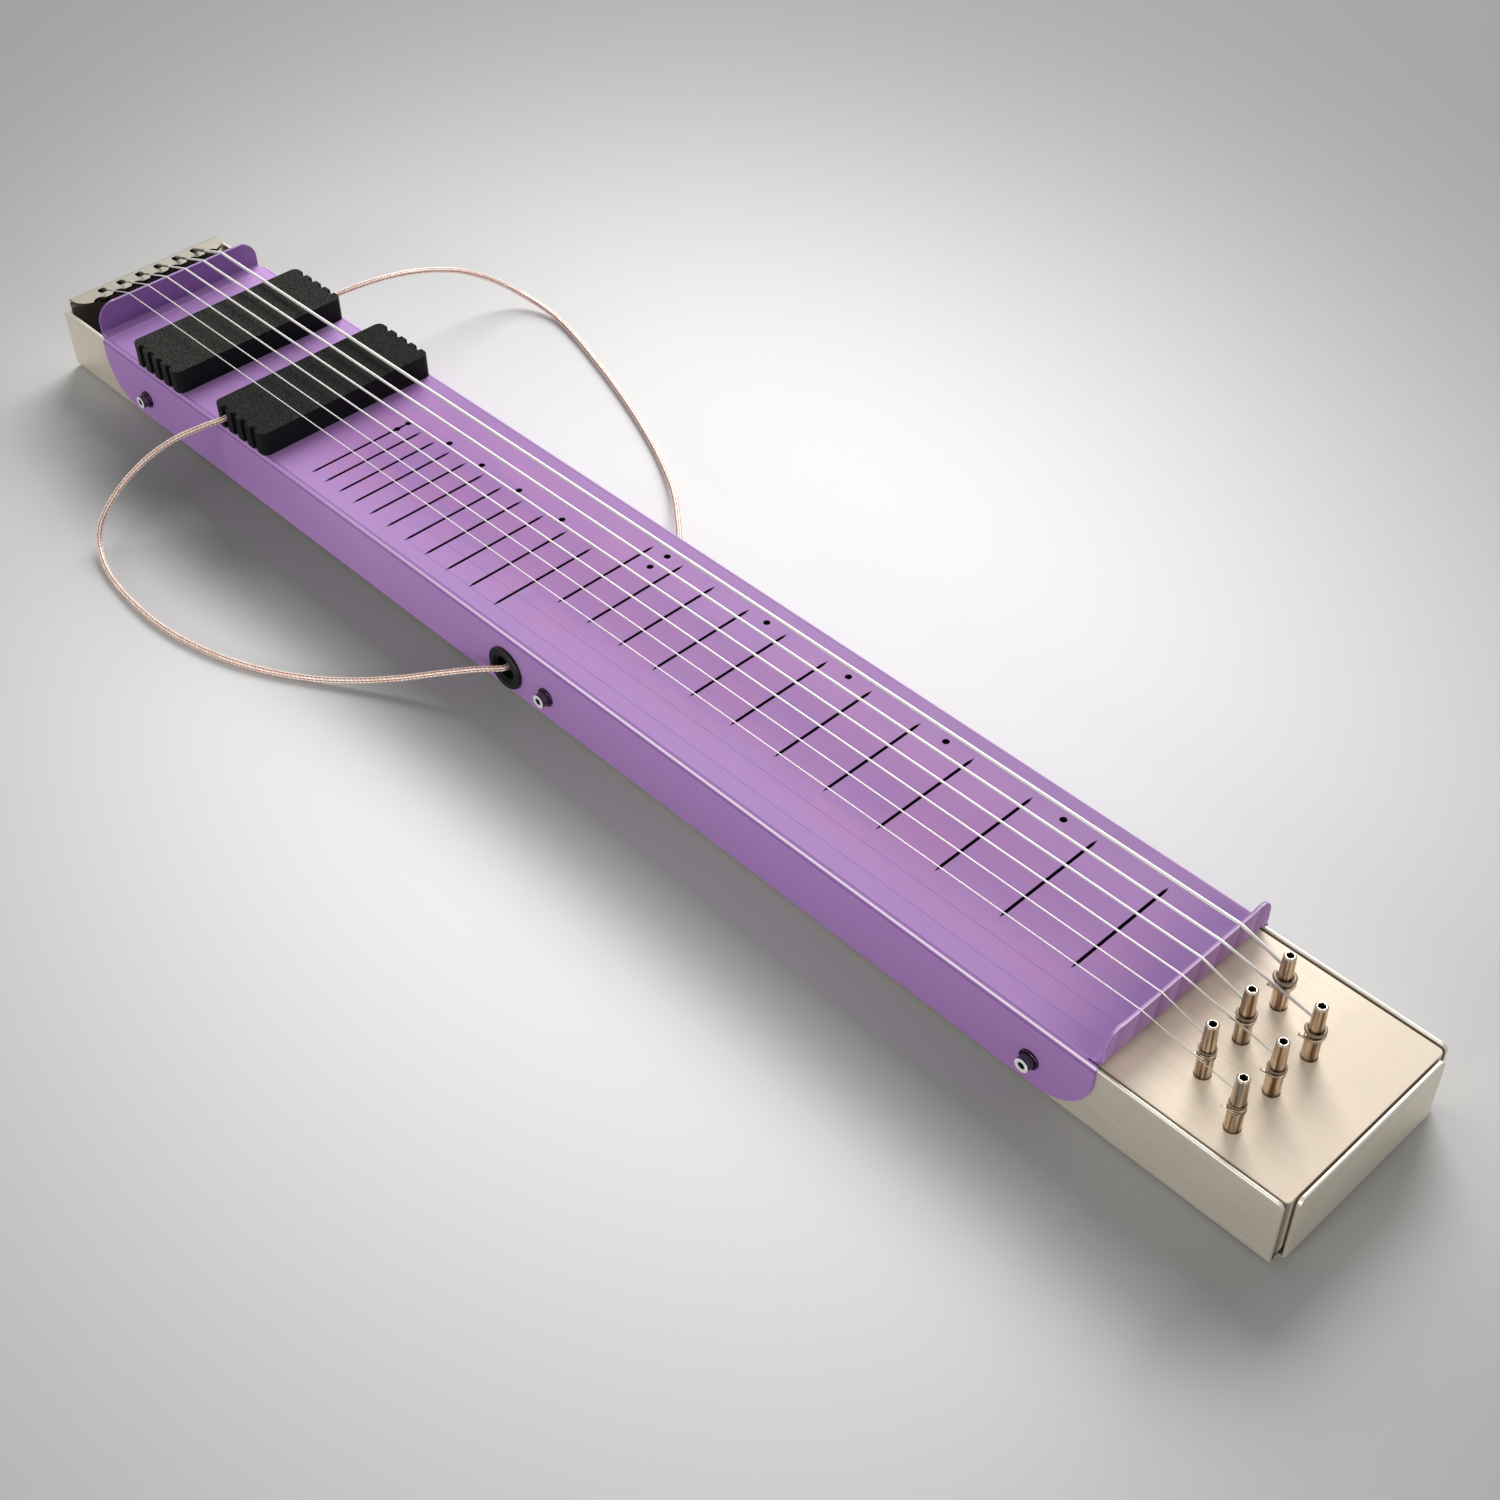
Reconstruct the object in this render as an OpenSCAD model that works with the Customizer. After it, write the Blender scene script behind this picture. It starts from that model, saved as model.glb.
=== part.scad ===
// Six-string lap steel guitar: a folded sheet tray, a folded sheet cover whose
// turned-up ends are the nut and the bridge, and a maple block with tuning pins.
// Millimetres. X runs from the tail to the head, Y from the player outwards, Z up.
// The origin is under the middle of the body, on the surface it rests on.

/* [Scale and body] */
// Speaking length of the strings, from the nut to the bridge
scale_length = 571.5; // [480:0.5:660]
// From the nut to the outside of the head end wall
head_length = 71; // [64:0.5:110]
// From the bridge to the outside of the tail end wall
tail_length = 32; // [29:0.5:60]
// Outside width of the tray
tray_width = 85; // [80:0.5:100]
// Outside height of the tray's side walls
tray_height = 30; // [26:0.5:45]

/* [Sheet metal] */
// Thickness of the tray's sheet
tray_sheet = 1.5; // [1:0.1:2]
// Thickness of the cover's sheet
cover_sheet = 1.2; // [0.8:0.1:1.6]
// Inside radius of the tray's bends
tray_bend = 1.4; // [0.8:0.1:3]
// Inside radius of the cover's long bends
cover_bend = 0.8; // [0.5:0.1:2]
// Height of the cover's lower edge above the table
skirt_lift = 4; // [0.6:0.1:6]
// Radius of the cover's lower corners
skirt_corner = 21; // [6:0.5:23]
// Distance from the tray's side to the end of the head end wall
head_corner_gap = 5.3; // [3.2:0.1:8]
// Distance from the tray's side to the end of the tail end wall
tail_corner_gap = 3.5; // [3.2:0.1:8]
// Distance from the end of a side wall to the outside of the head end wall
head_wall_step = 2.6; // [0.4:0.1:2.8]
// Distance from the end of a side wall to the outside of the tail end wall
tail_wall_step = 0.4; // [0.4:0.1:2.8]
// Radius of the tray walls' upper corners
wall_corner = 3; // [1:0.5:6]

/* [Nut and bridge flanges] */
// Height of the string tops at the nut above the cover
nut_rise = 13.8; // [13.2:0.1:20]
// Height of the string tops at the bridge above the cover
bridge_rise = 13.5; // [13:0.1:22]
// Inside radius of the soft bend under the nut
nut_bend = 3.5; // [2:0.5:6]
// Inside radius of the bend under the bridge
bridge_bend = 1.2; // [0.8:0.1:4]
// Distance from the long edge of the cover to the end of a flange
flange_inset = 2.6; // [2:0.1:5]
// Radius of the lobe at each end of the nut flange
nut_lobe = 6; // [3:0.5:8]
// Radius of the lobe at each end of the bridge flange
bridge_lobe = 8.5; // [3:0.5:10]
// How far the end lobes of the nut flange stand above its middle
nut_lobe_rise = 0.6; // [0:0.1:3]
// How far the end lobes of the bridge flange stand above its middle
bridge_lobe_rise = 0.1; // [0:0.1:3]

/* [String anchor] */
// Height of the anchor flap above the side walls
flap_rise = 4.6; // [3:0.1:6]
// Depth of the anchor flap along the strings
flap_depth = 12; // [11.5:0.5:20]
// Outside radius of the bend into the flap
flap_bend = 3; // [2:0.1:3.4]
// Distance from the tail end to the middle of the string holes
anchor_inset = 6; // [5.5:0.1:8]
// Side of a string hole
anchor_hole = 3.8; // [2.4:0.1:3.8]
// Depth of the hollows between the strings in the flap's front edge
scallop_depth = 2; // [0.5:0.1:2.6]
// Radius of the anchor flap's front corners
flap_corner = 8; // [2:0.5:10]
// Radius of a ball end
ball_r = 2; // [1.8:0.05:2.2]
// Length of a ball end
ball_length = 3.4; // [2.5:0.1:5]

/* [Strings] */
// Spacing of the strings at the nut
nut_spacing = 10; // [8:0.1:10.5]
// Spacing of the strings at the bridge
bridge_spacing = 9.8; // [8:0.1:10.5]
// Diameter of string 1, the thinnest
gauge_1 = 0.41; // [0.25:0.01:0.5]
// Diameter of string 2
gauge_2 = 0.51; // [0.3:0.01:0.6]
// Diameter of string 3
gauge_3 = 0.71; // [0.4:0.01:0.9]
// Diameter of string 4
gauge_4 = 0.91; // [0.5:0.01:1.1]
// Diameter of string 5
gauge_5 = 1.12; // [0.6:0.01:1.3]
// Diameter of string 6, the thickest
gauge_6 = 1.42; // [0.8:0.01:1.6]

/* [Note slots and dots] */
// Width of a slot
slot_width = 1.3; // [0.8:0.1:2]
// Length of a slot
slot_length = 50; // [30:1:54]
// Length of a slot's pointed tip
slot_tip = 3; // [1:0.5:6]
// Middle of the slots of the first octave, across the cover
low_slot_y = 7.3; // [0:0.1:9]
// Middle of the slots above the octave, across the cover
high_slot_y = -10.9; // [-12:0.1:0]
// Number of the last slot
last_slot = 23; // [15:1:23]
// Radius of a dot hole
dot_r = 1.4; // [0.8:0.1:2]
// Distance between the holes of the double dot at the octave
octave_dot_gap = 9; // [6:0.5:12]
// Distance between the holes of the double dot past the last slot
last_dot_gap = 5.8; // [4:0.1:9]

/* [Pin block and tuning pins] */
// Distance from the nut to the first row of pins
pin_row_a = 22; // [18:0.5:28]
// Distance between the two rows of pins
pin_row_step = 18.5; // [15:0.5:24]
// Step between neighbouring pins across the block
pin_step = 9.6; // [8.5:0.1:10]
// Sideways shift of all the pins
pin_shift = -5.4; // [-8:0.1:-2]
// Radius of a pin's shank
shank_r = 2.7; // [2.2:0.05:3]
// Radius of a pin where the string winds
neck_r = 2.4; // [1.8:0.05:2.7]
// Radius of a pin's top
crown_r = 2.1; // [1.6:0.05:2.4]
// Height of a pin above the block
pin_height = 23.5; // [18:0.5:28]
// Height of the shoulder under the winding above the block
shoulder_height = 8.6; // [7:0.1:9]
// Depth of a pin in the block
pin_depth = 21; // [14:0.5:22]
// Across-flats size of the key socket in a pin
pin_socket = 2.5; // [2:0.1:2.8]
// Depth of the key socket in a pin
pin_socket_depth = 8; // [4:0.5:12]
// How far the block runs under the cover from the nut
block_tuck = 30; // [29:0.5:31]
// Distance of the block's top below the side walls
block_drop = 0.7; // [0.4:0.1:2]
// Radius of a pin collar's outside
collar_r = 3.05; // [2.8:0.05:3.4]
// Height of a pin's collar
collar_height = 0.9; // [0.5:0.1:1.5]

/* [Pickups] */
// Distance from the bridge to the middle of the bridge pickup
bridge_pickup_x = 48.5; // [42:0.5:52]
// Distance from the bridge to the middle of the neck pickup
neck_pickup_x = 112; // [108:0.5:118]
// Size of a pickup along the strings
pickup_depth = 35; // [32:0.5:38]
// Distance from the cover's side to the end of a pickup
pickup_inset = 0.75; // [0.25:0.05:1.75]
// Height of a pickup above the cover
pickup_height = 10.8; // [10.2:0.1:11.2]
// Radius of a pickup's upright corners
pickup_corner = 3; // [2:0.5:5]
// Wall of a pickup cover's long sides and top
shell_wall = 1.5; // [1:0.1:2]
// Wall of a pickup cover's ends
shell_end = 3.6; // [3:0.1:4.5]
// Width of a groove in a pickup's end
groove_width = 3.2; // [1.5:0.1:4]
// Depth of a groove in a pickup's end
groove_depth = 1.7; // [0.5:0.1:2.2]
// Distance between the grooves of a pickup's end
groove_step = 7; // [5:0.1:7.5]
// Thickness of a pickup's base plate
base_thick = 1.5; // [1:0.1:2]
// Length of a pickup's coil
coil_length = 60; // [56:0.5:62]
// Width of a pickup's coil
coil_width = 22; // [16:0.5:26]
// Length of a pickup's magnet
magnet_length = 52; // [50:0.5:53]
// Width of a pickup's magnet
magnet_width = 4; // [3:0.1:6]
// Wall of a bobbin's core, and thickness of its flanges
bobbin_wall = 1.2; // [0.8:0.1:1.4]

/* [Fasteners] */
// Radius of a cover screw's head
head_r = 2.85; // [2.6:0.05:3]
// Height of a cover screw's head
head_height = 3.2; // [2.5:0.1:4]
// Radius of a screw's shank
screw_r = 1.5; // [1.2:0.1:1.7]
// Across-flats size of a screw's socket
screw_socket = 2.5; // [2:0.1:2.8]
// Radius of a cover screw's washer
washer_r = 3.85; // [3.4:0.05:5]
// Thickness of a cover screw's washer
washer_thick = 1; // [0.6:0.1:1.2]
// Distance from the nut to the first pair of cover screws
screw_x_1 = 25; // [24.5:0.1:25.5]
// Distance from the grommets to the middle pair of cover screws
screw_x_2 = 23.25; // [18:0.25:45]
// Distance from the bridge to the last pair of cover screws
screw_x_3 = 35.5; // [30:0.5:60]
// Height of a cover screw above the table
screw_z = 14.8; // [13:0.1:18]
// Radius of a clinch nut and of an insert in the block
nut_r = 3.2; // [2.6:0.1:4]
// Length of a clinch nut and of an insert in the block
nut_length = 6; // [4:0.5:8]

/* [Grommets and leads] */
// Radius of a grommet's outer flange
grommet_r = 9.1; // [8.5:0.1:11]
// Radius of the grommet holes in the sheets
grommet_hole_r = 7; // [6:0.1:8]
// Thickness of a grommet's outer flange
grommet_lip = 1.8; // [1:0.1:2.5]
// Radius of a grommet's recess
grommet_recess_r = 5; // [4:0.1:5.6]
// Height of a grommet above the table
grommet_z = 15; // [12:0.1:18]
// Diameter of a pickup lead
lead_d = 2.6; // [2:0.1:3.2]
// Height of a lead's exit above the cover
lead_rise = 5.8; // [4.5:0.1:6.5]

/* [Output jack] */
// Distance from the grommets to the output jack
jack_x_offset = 114.25; // [95:0.25:134]
// Height of the output jack above the table
jack_z = 15; // [13:0.1:17]
// Radius of the jack's bore
jack_bore_r = 3.2; // [3.15:0.01:3.3]
// Depth of the jack's bore from its outer end
jack_bore_depth = 28; // [20:0.5:32]
// Radius of the jack's bush
jack_bush_r = 4.7; // [4.4:0.1:6]
// Side of the jack's housing
jack_housing = 14; // [13:0.5:18]
// Across-flats size of the jack's nut
jack_nut_flats = 12.7; // [11:0.1:14]
// Thickness of the jack's nut
jack_nut_thick = 2.1; // [1.5:0.1:2.4]
// Thickness of the jack's washer
jack_washer_thick = 0.8; // [0.5:0.1:1]

/* [Clearances] */
// Gap between the cover's skirts and the tray
skirt_fit = 0.05; // [0.02:0.01:0.2]
// Radial gap of a pin in the block
pin_fit = 0.05; // [0.02:0.01:0.1]
// Gap between a string's standing turn and its pin
wrap_fit = 0.08; // [0.06:0.01:0.15]
// Gap between neighbouring turns of a winding
turn_gap = 0.42; // [0.41:0.01:0.5]
// Gap between a string's standing turn, its winding and the pin's collar
wind_fit = 0.15; // [0.1:0.01:0.3]
// Gap round the block
block_fit = 0.9; // [0.2:0.1:1.2]
// Gap between parts that are set into each other
set_fit = 0.03; // [0.02:0.01:0.1]

/* [Hidden] */
$fn = 64;
eps = 0.01;
string_count = 6;
gauges = [gauge_1, gauge_2, gauge_3, gauge_4, gauge_5, gauge_6];

body_length = scale_length + head_length + tail_length;
head_x = body_length / 2;
tail_x = -body_length / 2;
nut_x = head_x - head_length;
bridge_x = tail_x + tail_length;

tray_half = tray_width / 2;
tray_bend_out = tray_bend + tray_sheet;
head_wall_half = tray_half - head_corner_gap;
tail_wall_half = tray_half - tail_corner_gap;
side_wall_start_x = tail_x + tail_wall_step;
side_wall_end_x = head_x - head_wall_step;
flap_top = tray_height + flap_rise;

cover_half = tray_half + skirt_fit + cover_sheet;
cover_top = tray_height + cover_sheet;
flange_half = cover_half - flange_inset;
relief_width = 0.8;
skirt_start_x = bridge_x + 4;
skirt_end_x = nut_x - 0.6;

nut_string_top = cover_top + nut_rise;
bridge_string_top = cover_top + bridge_rise;
notch_show = 0.3;
notch_fit = 0.06;

octave = 12;
double_octave_dot = last_slot + 0.5;
dot_low_y = low_slot_y + slot_length / 2 - slot_tip / 3;
dot_high_y = low_slot_y + 10;
low_dots = [3, 5, 7, 9];
high_dots = [15, 17, 19, 21];

block_top = tray_height - block_drop;
block_start_x = nut_x - block_tuck;
block_end_x = head_x - tray_sheet - block_fit;
block_corner = 2;
pin_top = block_top + pin_height;
shoulder_z = block_top + shoulder_height;
bore_floor_gap = 0.3;
crown_round = 0.5;
neck_height = 5;

coil_steps = 24;
string_sides = 6;
tail_reach = 3.4;
wind_room = 2.6;
standing_sweep = 270;
wind_start = 170;
wind_sweep = 260;

wall_stack = cover_sheet + skirt_fit + tray_sheet;
thread_r = screw_r + set_fit;
screw_length = wall_stack + nut_length + 0.5;

bridge_pickup_mid = bridge_x + bridge_pickup_x;
neck_pickup_mid = bridge_x + neck_pickup_x;
lead_z = cover_top + lead_rise;
lead_r = lead_d / 2;
lead_hole_r = lead_r + 0.1;
pickup_length = 2 * (cover_half - pickup_inset);
shell_room = pickup_height - shell_wall;
neck_exit_x = -1.5 * groove_step;
bridge_exit_x = groove_step;
exit_y = pickup_length / 2 - shell_end + 1;
bobbin_height = shell_room - base_thick - 0.1;
base_half_length = pickup_length / 2 - shell_end - 0.1;
boss_r = 2.8;
boss_height = 4;
boss_y = base_half_length - boss_r - 0.2;
pickup_screw_head = 1.8;

grommet_x = nut_x - scale_length / 2;
grommet_inner_lip = 1.5;
grommet_web = 1.4;
grommet_depth = wall_stack + grommet_inner_lip;
grommet_web_y = cover_half - grommet_depth + grommet_web / 2;

jack_x = grommet_x - jack_x_offset;
jack_outer_y = cover_half + jack_washer_thick + jack_nut_thick + 0.7;
jack_rear_wall = 2.5;
jack_rear_y = jack_outer_y - jack_bore_depth - jack_rear_wall;
terminal_step = 3.5;

cord_sides = 8;
joint_gap = 0.3;
// Route of the near lead: out of the neck pickup, down to the table and back
// up into the near grommet
near_route = [
    [neck_pickup_mid + neck_exit_x, -exit_y, lead_z],
    [neck_pickup_mid + neck_exit_x, -exit_y - 5, lead_z], [-205.5, -54, 36.7], [-209.5, -66, 34], [-213.5, -79, 27.5],
    [-216, -92, 18], [-214, -103, 9], [-205.5, -110, 3.6], [-188.5, -115.5, 1.5],
    [-164, -118, 1.4], [-141, -117, 1.4], [-118, -112, 1.4], [-98, -104, 1.4],
    [-81, -94, 1.6], [-66, -83, 3], [-51.5, -71, 6], [-38, -60, 10.5],
    [-27, -51.5, 14], [-20.5, -46, 15], [grommet_x, -43, grommet_z],
    [grommet_x, -grommet_web_y, grommet_z]
];
// Route of the far lead: out of the bridge pickup, down to the table and back
// up into the far grommet
far_route = [
    [bridge_pickup_mid + bridge_exit_x, exit_y, lead_z],
    [bridge_pickup_mid + bridge_exit_x, exit_y + 6, lead_z], [-249, 57, 36.9], [-247.5, 70, 36.2], [-246.5, 84, 33.8],
    [-246, 99, 29], [-245.5, 114, 22], [-242, 128, 13], [-232, 137, 5.5],
    [-214, 139.5, 2], [-191, 135, 1.4], [-163, 126.5, 1.4], [-137, 117.5, 1.4],
    [-114, 108.5, 1.4], [-91, 98, 1.6], [-69, 85.5, 3.5], [-48, 69.5, 7.5],
    [-32, 56, 12], [-22, 48, 14.7], [grommet_x, 43, grommet_z],
    [grommet_x, grommet_web_y, grommet_z]
];
// Routes of the two leads inside the tray, from a grommet to the jack
near_inner_route = [
    [grommet_x, joint_gap - grommet_web_y, grommet_z], [grommet_x, -37, grommet_z],
    [-20.5, -34, 14.7], [-24, -28, 12], [-37, -17, 5.5], [-70, -8, 3.2], [-104, -3, 3.2],
    [-125, 2, 7], [-135, 7.5, 12.5], [jack_x - terminal_step, jack_rear_y - 4, jack_z],
    [jack_x - terminal_step, jack_rear_y - joint_gap, jack_z]
];
far_inner_route = [
    [grommet_x, grommet_web_y - joint_gap, grommet_z], [grommet_x, 37, grommet_z],
    [-20.5, 34, 14.7], [-24, 29, 12], [-37, 20, 5.5], [-70, 12, 3.2], [-104, 7, 3.4],
    [-120, 7.5, 8], [-128, 10, 13], [jack_x + terminal_step, jack_rear_y - 4, jack_z],
    [jack_x + terminal_step, jack_rear_y - joint_gap, jack_z]
];

// Where things stand

// Place of note slot n along the body, in equal temperament
function slot_x(n) = nut_x - scale_length * (1 - pow(2, -n / octave));

// Radius of string n
function string_r(n) = gauges[n - 1] / 2;

// Offset of string n from the middle string line
function string_rank(n) = n - (string_count + 1) / 2;

// Height of the middle of string n at the nut and at the bridge
function nut_string_z(n) = nut_string_top - string_r(n);
function bridge_string_z(n) = bridge_string_top - string_r(n);

// Axis of tuning pin n: the odd strings go to the second row
function pin_x(n) = nut_x + pin_row_a + (n % 2 == 1 ? pin_row_step : 0);
function pin_y(n) = string_rank(n) * pin_step + pin_shift;

// Radius of the middle of string n where it winds on its pin
function wind_r(n) = neck_r + wrap_fit + string_r(n);

// Height of one turn of string n
function turn_pitch(n) = 2 * string_r(n) + turn_gap;

// Degrees that string n is wound below its standing turn: as much as there is
// room for under it
function wound_sweep(n) =
    let (room = wind_room - 2 * string_r(n) - turn_pitch(n) * wind_sweep / 360)
    wind_sweep + 360 * max(floor(room / turn_pitch(n)), 0);

// Height of the middle of string n at the top of its winding
function wind_top_z(n) =
    shoulder_z + collar_height + wind_fit + string_r(n) + turn_pitch(n) * wound_sweep(n) / 360;

// Height of the middle of string n in its standing turn
function standing_z(n) = wind_top_z(n) + 2 * string_r(n) + wind_fit;

// Swept tubes

function unit(v) = v / norm(v);

// Direction of the path at point i
function heading(path, i) =
    i == 0 ? unit(path[1] - path[0])
    : i == len(path) - 1 ? unit(path[i] - path[i - 1])
    : unit(unit(path[i + 1] - path[i]) + unit(path[i] - path[i - 1]));

// Any vector square to v
function square_to(v) = unit(abs(v.z) < 0.9 ? cross(v, [0, 0, 1]) : cross(v, [0, 1, 0]));

// Normals carried along the path without twist
function carried_normals(path) = [
    for (i = 0, n = square_to(heading(path, 0));
        i < len(path);
        i = i + 1, n = i < len(path) ? unit(n - heading(path, i) * (n * heading(path, i))) : n)
        n
];

// One solid tube of radius r round the path
module tube(path, r, sides) {
    normals = carried_normals(path);
    rings = len(path);
    points = [
        for (i = [0:rings - 1], k = [0:sides - 1])
            let (n = normals[i], b = cross(heading(path, i), n))
            path[i] + r * (n * cos(360 * k / sides) + b * sin(360 * k / sides))
    ];
    walls = [
        for (i = [0:rings - 2], k = [0:sides - 1])
            let (a = i * sides + k, b = i * sides + (k + 1) % sides)
            [b, a, a + sides, b + sides]
    ];
    first_cap = [for (k = [0:sides - 1]) k];
    last_cap = [for (k = [sides - 1:-1:0]) (rings - 1) * sides + k];
    polyhedron(points = points, faces = concat(walls, [first_cap, last_cap]), convexity = 10);
}

// Point at t between b and c on a smooth curve through a, b, c and d
function smooth_point(a, b, c, d, t) =
    0.5 * (2 * b + (c - a) * t + (2 * a - 5 * b + 4 * c - d) * t * t
        + (3 * b - a - 3 * c + d) * t * t * t);

// The route with steps points on each stretch
function smooth_route(route, steps) = [
    for (i = [0:len(route) - 2], s = [0:steps - 1])
        let (a = route[max(i - 1, 0)], d = route[min(i + 2, len(route) - 1)])
        smooth_point(a, route[i], route[i + 1], d, s / steps),
    route[len(route) - 1]
];

// Plane shapes

// Section of a block whose lower edges are round, standing on the origin
module round_bottom(width, height, r) {
    translate([-width / 2, r])
        square([width, height - r]);
    translate([-width / 2 + r, 0])
        square([width - 2 * r, r + eps]);
    for (side = [-1, 1])
        translate([side * (width / 2 - r), r])
            circle(r = r);
}

// Plate with round corners, centred
module round_plate(length, width, r) {
    square([length - 2 * r, width], center = true);
    square([length, width - 2 * r], center = true);
    for (sx = [-1, 1], sy = [-1, 1])
        translate([sx * (length / 2 - r), sy * (width / 2 - r)])
            circle(r = r);
}

// Quarter ring of bent sheet in the corner between +X and -Y
module bend_section(r_in, sheet) {
    intersection() {
        difference() {
            circle(r = r_in + sheet);
            circle(r = r_in);
        }
        translate([0, -r_in - sheet])
            square([r_in + sheet, r_in + sheet]);
    }
}

// Spandrel left outside a round corner of radius r at the origin's +X +Y corner
module corner_spandrel(r) {
    translate([-r, -r])
        difference() {
            square([r + 1, r + 1]);
            circle(r = r);
        }
}

// Long pointed slot, centred, along Y
module pointed_slot() {
    half = slot_length / 2;
    polygon([
        [slot_width / 2, half - slot_tip], [0, half], [-slot_width / 2, half - slot_tip],
        [-slot_width / 2, slot_tip - half], [0, -half], [slot_width / 2, slot_tip - half]
    ]);
}

// Solid made by running a Y-Z section along X from x0 to x1
module run_x(x0, x1) {
    translate([x0, 0, 0])
        rotate([90, 0, 90])
            linear_extrude(height = x1 - x0)
                children();
}

// Solid made by running an X-Z section along Y, centred
module run_y(width) {
    translate([0, width / 2, 0])
        rotate([90, 0, 0])
            linear_extrude(height = width)
                children();
}

// Round hole or shaft along Y from y0 to y1
module bar_y(r, y0, y1) {
    translate([0, y1, 0])
        rotate([90, 0, 0])
            cylinder(r = r, h = y1 - y0);
}

// Tray

// Open channel with round-edged walls
module channel_section() {
    wall_mid = tray_half - tray_sheet / 2;
    difference() {
        round_bottom(tray_width, tray_height - tray_sheet / 2, tray_bend_out);
        translate([0, tray_sheet])
            round_bottom(tray_width - 2 * tray_sheet, tray_height, tray_bend);
    }
    for (side = [-1, 1])
        translate([side * wall_mid, tray_height - tray_sheet / 2])
            circle(d = tray_sheet);
}

// Head end wall seen from the side, its outer face on the Z axis
module head_wall_section() {
    translate([-tray_bend_out, tray_bend_out])
        bend_section(tray_bend, tray_sheet);
    translate([-tray_sheet, tray_bend_out])
        square([tray_sheet, tray_height - tray_bend_out - tray_sheet / 2]);
    translate([-tray_sheet / 2, tray_height - tray_sheet / 2])
        circle(d = tray_sheet);
    translate([-2 * tray_bend_out, 0])
        square([tray_bend_out, tray_sheet]);
}

// Tail end wall seen from the side, rolled over into the anchor flap
module tail_wall_section() {
    flap_bend_in = flap_bend - tray_sheet;
    translate([-tray_bend_out, tray_bend_out])
        bend_section(tray_bend, tray_sheet);
    translate([-tray_sheet, tray_bend_out])
        square([tray_sheet, flap_top - tray_bend_out - flap_bend]);
    translate([-flap_bend, flap_top - flap_bend])
        mirror([0, 1])
            bend_section(flap_bend_in, tray_sheet);
    translate([tray_sheet / 2 - flap_depth, flap_top - tray_sheet])
        square([flap_depth - tray_sheet / 2 - flap_bend, tray_sheet]);
    translate([tray_sheet / 2 - flap_depth, flap_top - tray_sheet / 2])
        circle(d = tray_sheet);
    translate([-2 * tray_bend_out, 0])
        square([tray_bend_out, tray_sheet]);
}

// Room in the bottom of the channel for an end wall's bend and its reliefs
module end_wall_room() {
    room_half = tray_half - tray_bend_out;
    translate([head_x - tray_bend_out, -room_half, -1])
        cube([tray_bend_out, 2 * room_half, tray_sheet + 1 + eps]);
}

// Upper corners taken off a wall of the given half width, as seen along X
module wall_corner_cuts(half, top) {
    for (side = [0, 1])
        mirror([side, 0])
            translate([half, top])
                corner_spandrel(wall_corner);
}

module string_holes_and_scallops() {
    for (n = [1:string_count])
        translate([tail_x + anchor_inset, string_rank(n) * bridge_spacing, flap_top])
            linear_extrude(height = 4 * tray_sheet, center = true)
                round_plate(anchor_hole, anchor_hole, anchor_hole / 4);
    scallop_r = bridge_spacing * 0.36;
    for (n = [0:string_count])
        translate([
            tail_x + flap_depth + scallop_r - scallop_depth,
            (n - string_count / 2) * bridge_spacing,
            flap_top - 2 * tray_sheet
        ])
            cylinder(r = scallop_r, h = 4 * tray_sheet);
    for (side = [0, 1])
        mirror([0, side, 0])
            translate([tail_x + flap_depth, tail_wall_half, flap_top - 2 * tray_sheet])
                linear_extrude(height = 4 * tray_sheet)
                    corner_spandrel(flap_corner);
}

// Holes of the cover screws, of both sheets
module cover_screw_holes(r) {
    for (x = cover_screw_xs())
        translate([x, 0, screw_z])
            bar_y(r, -cover_half - 1, cover_half + 1);
}

function cover_screw_xs() = [nut_x - screw_x_1, grommet_x + screw_x_2, bridge_x + screw_x_3];

// Holes of the grommets and of the jack, of both sheets
module side_holes() {
    translate([grommet_x, 0, grommet_z])
        bar_y(grommet_hole_r, -cover_half - 1, cover_half + 1);
    translate([jack_x, 0, jack_z])
        bar_y(jack_bush_r + set_fit, 0, cover_half + 1);
}

module tray() {
    color("gainsboro")
        difference() {
            union() {
                difference() {
                    run_x(side_wall_start_x, side_wall_end_x)
                        channel_section();
                    translate([side_wall_end_x, 0, tray_height])
                        run_y(2 * tray_width)
                            corner_spandrel(wall_corner);
                    translate([side_wall_start_x, 0, tray_height])
                        mirror([1, 0, 0])
                            run_y(2 * tray_width)
                                corner_spandrel(wall_corner);
                    for (side = [0, 1])
                        mirror([side, 0, 0])
                            end_wall_room();
                }
                difference() {
                    translate([head_x, 0, 0])
                        run_y(2 * head_wall_half)
                            head_wall_section();
                    run_x(head_x - tray_bend_out, head_x + 1)
                        wall_corner_cuts(head_wall_half, tray_height);
                }
                difference() {
                    translate([tail_x, 0, 0])
                        mirror([1, 0, 0])
                            run_y(2 * tail_wall_half)
                                tail_wall_section();
                    string_holes_and_scallops();
                }
            }
            cover_screw_holes(screw_r + set_fit);
            side_holes();
        }
}

// Cover

// Upside-down channel that slips over the tray
module cover_section() {
    translate([0, cover_top])
        mirror([0, 1])
            difference() {
                round_bottom(2 * cover_half, cover_top - skirt_lift, cover_bend + cover_sheet);
                translate([0, cover_sheet])
                    round_bottom(2 * (cover_half - cover_sheet), cover_top, cover_bend);
            }
}

// Side view of a turned-up flange whose plate stands on the Z axis
module flange_section(bend, top) {
    bend_out = bend + cover_sheet;
    translate([cover_sheet / 2 - bend_out, tray_height + bend_out])
        bend_section(bend, cover_sheet);
    translate([-cover_sheet / 2, tray_height + bend_out])
        square([cover_sheet, top - tray_height - bend_out]);
}

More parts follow.
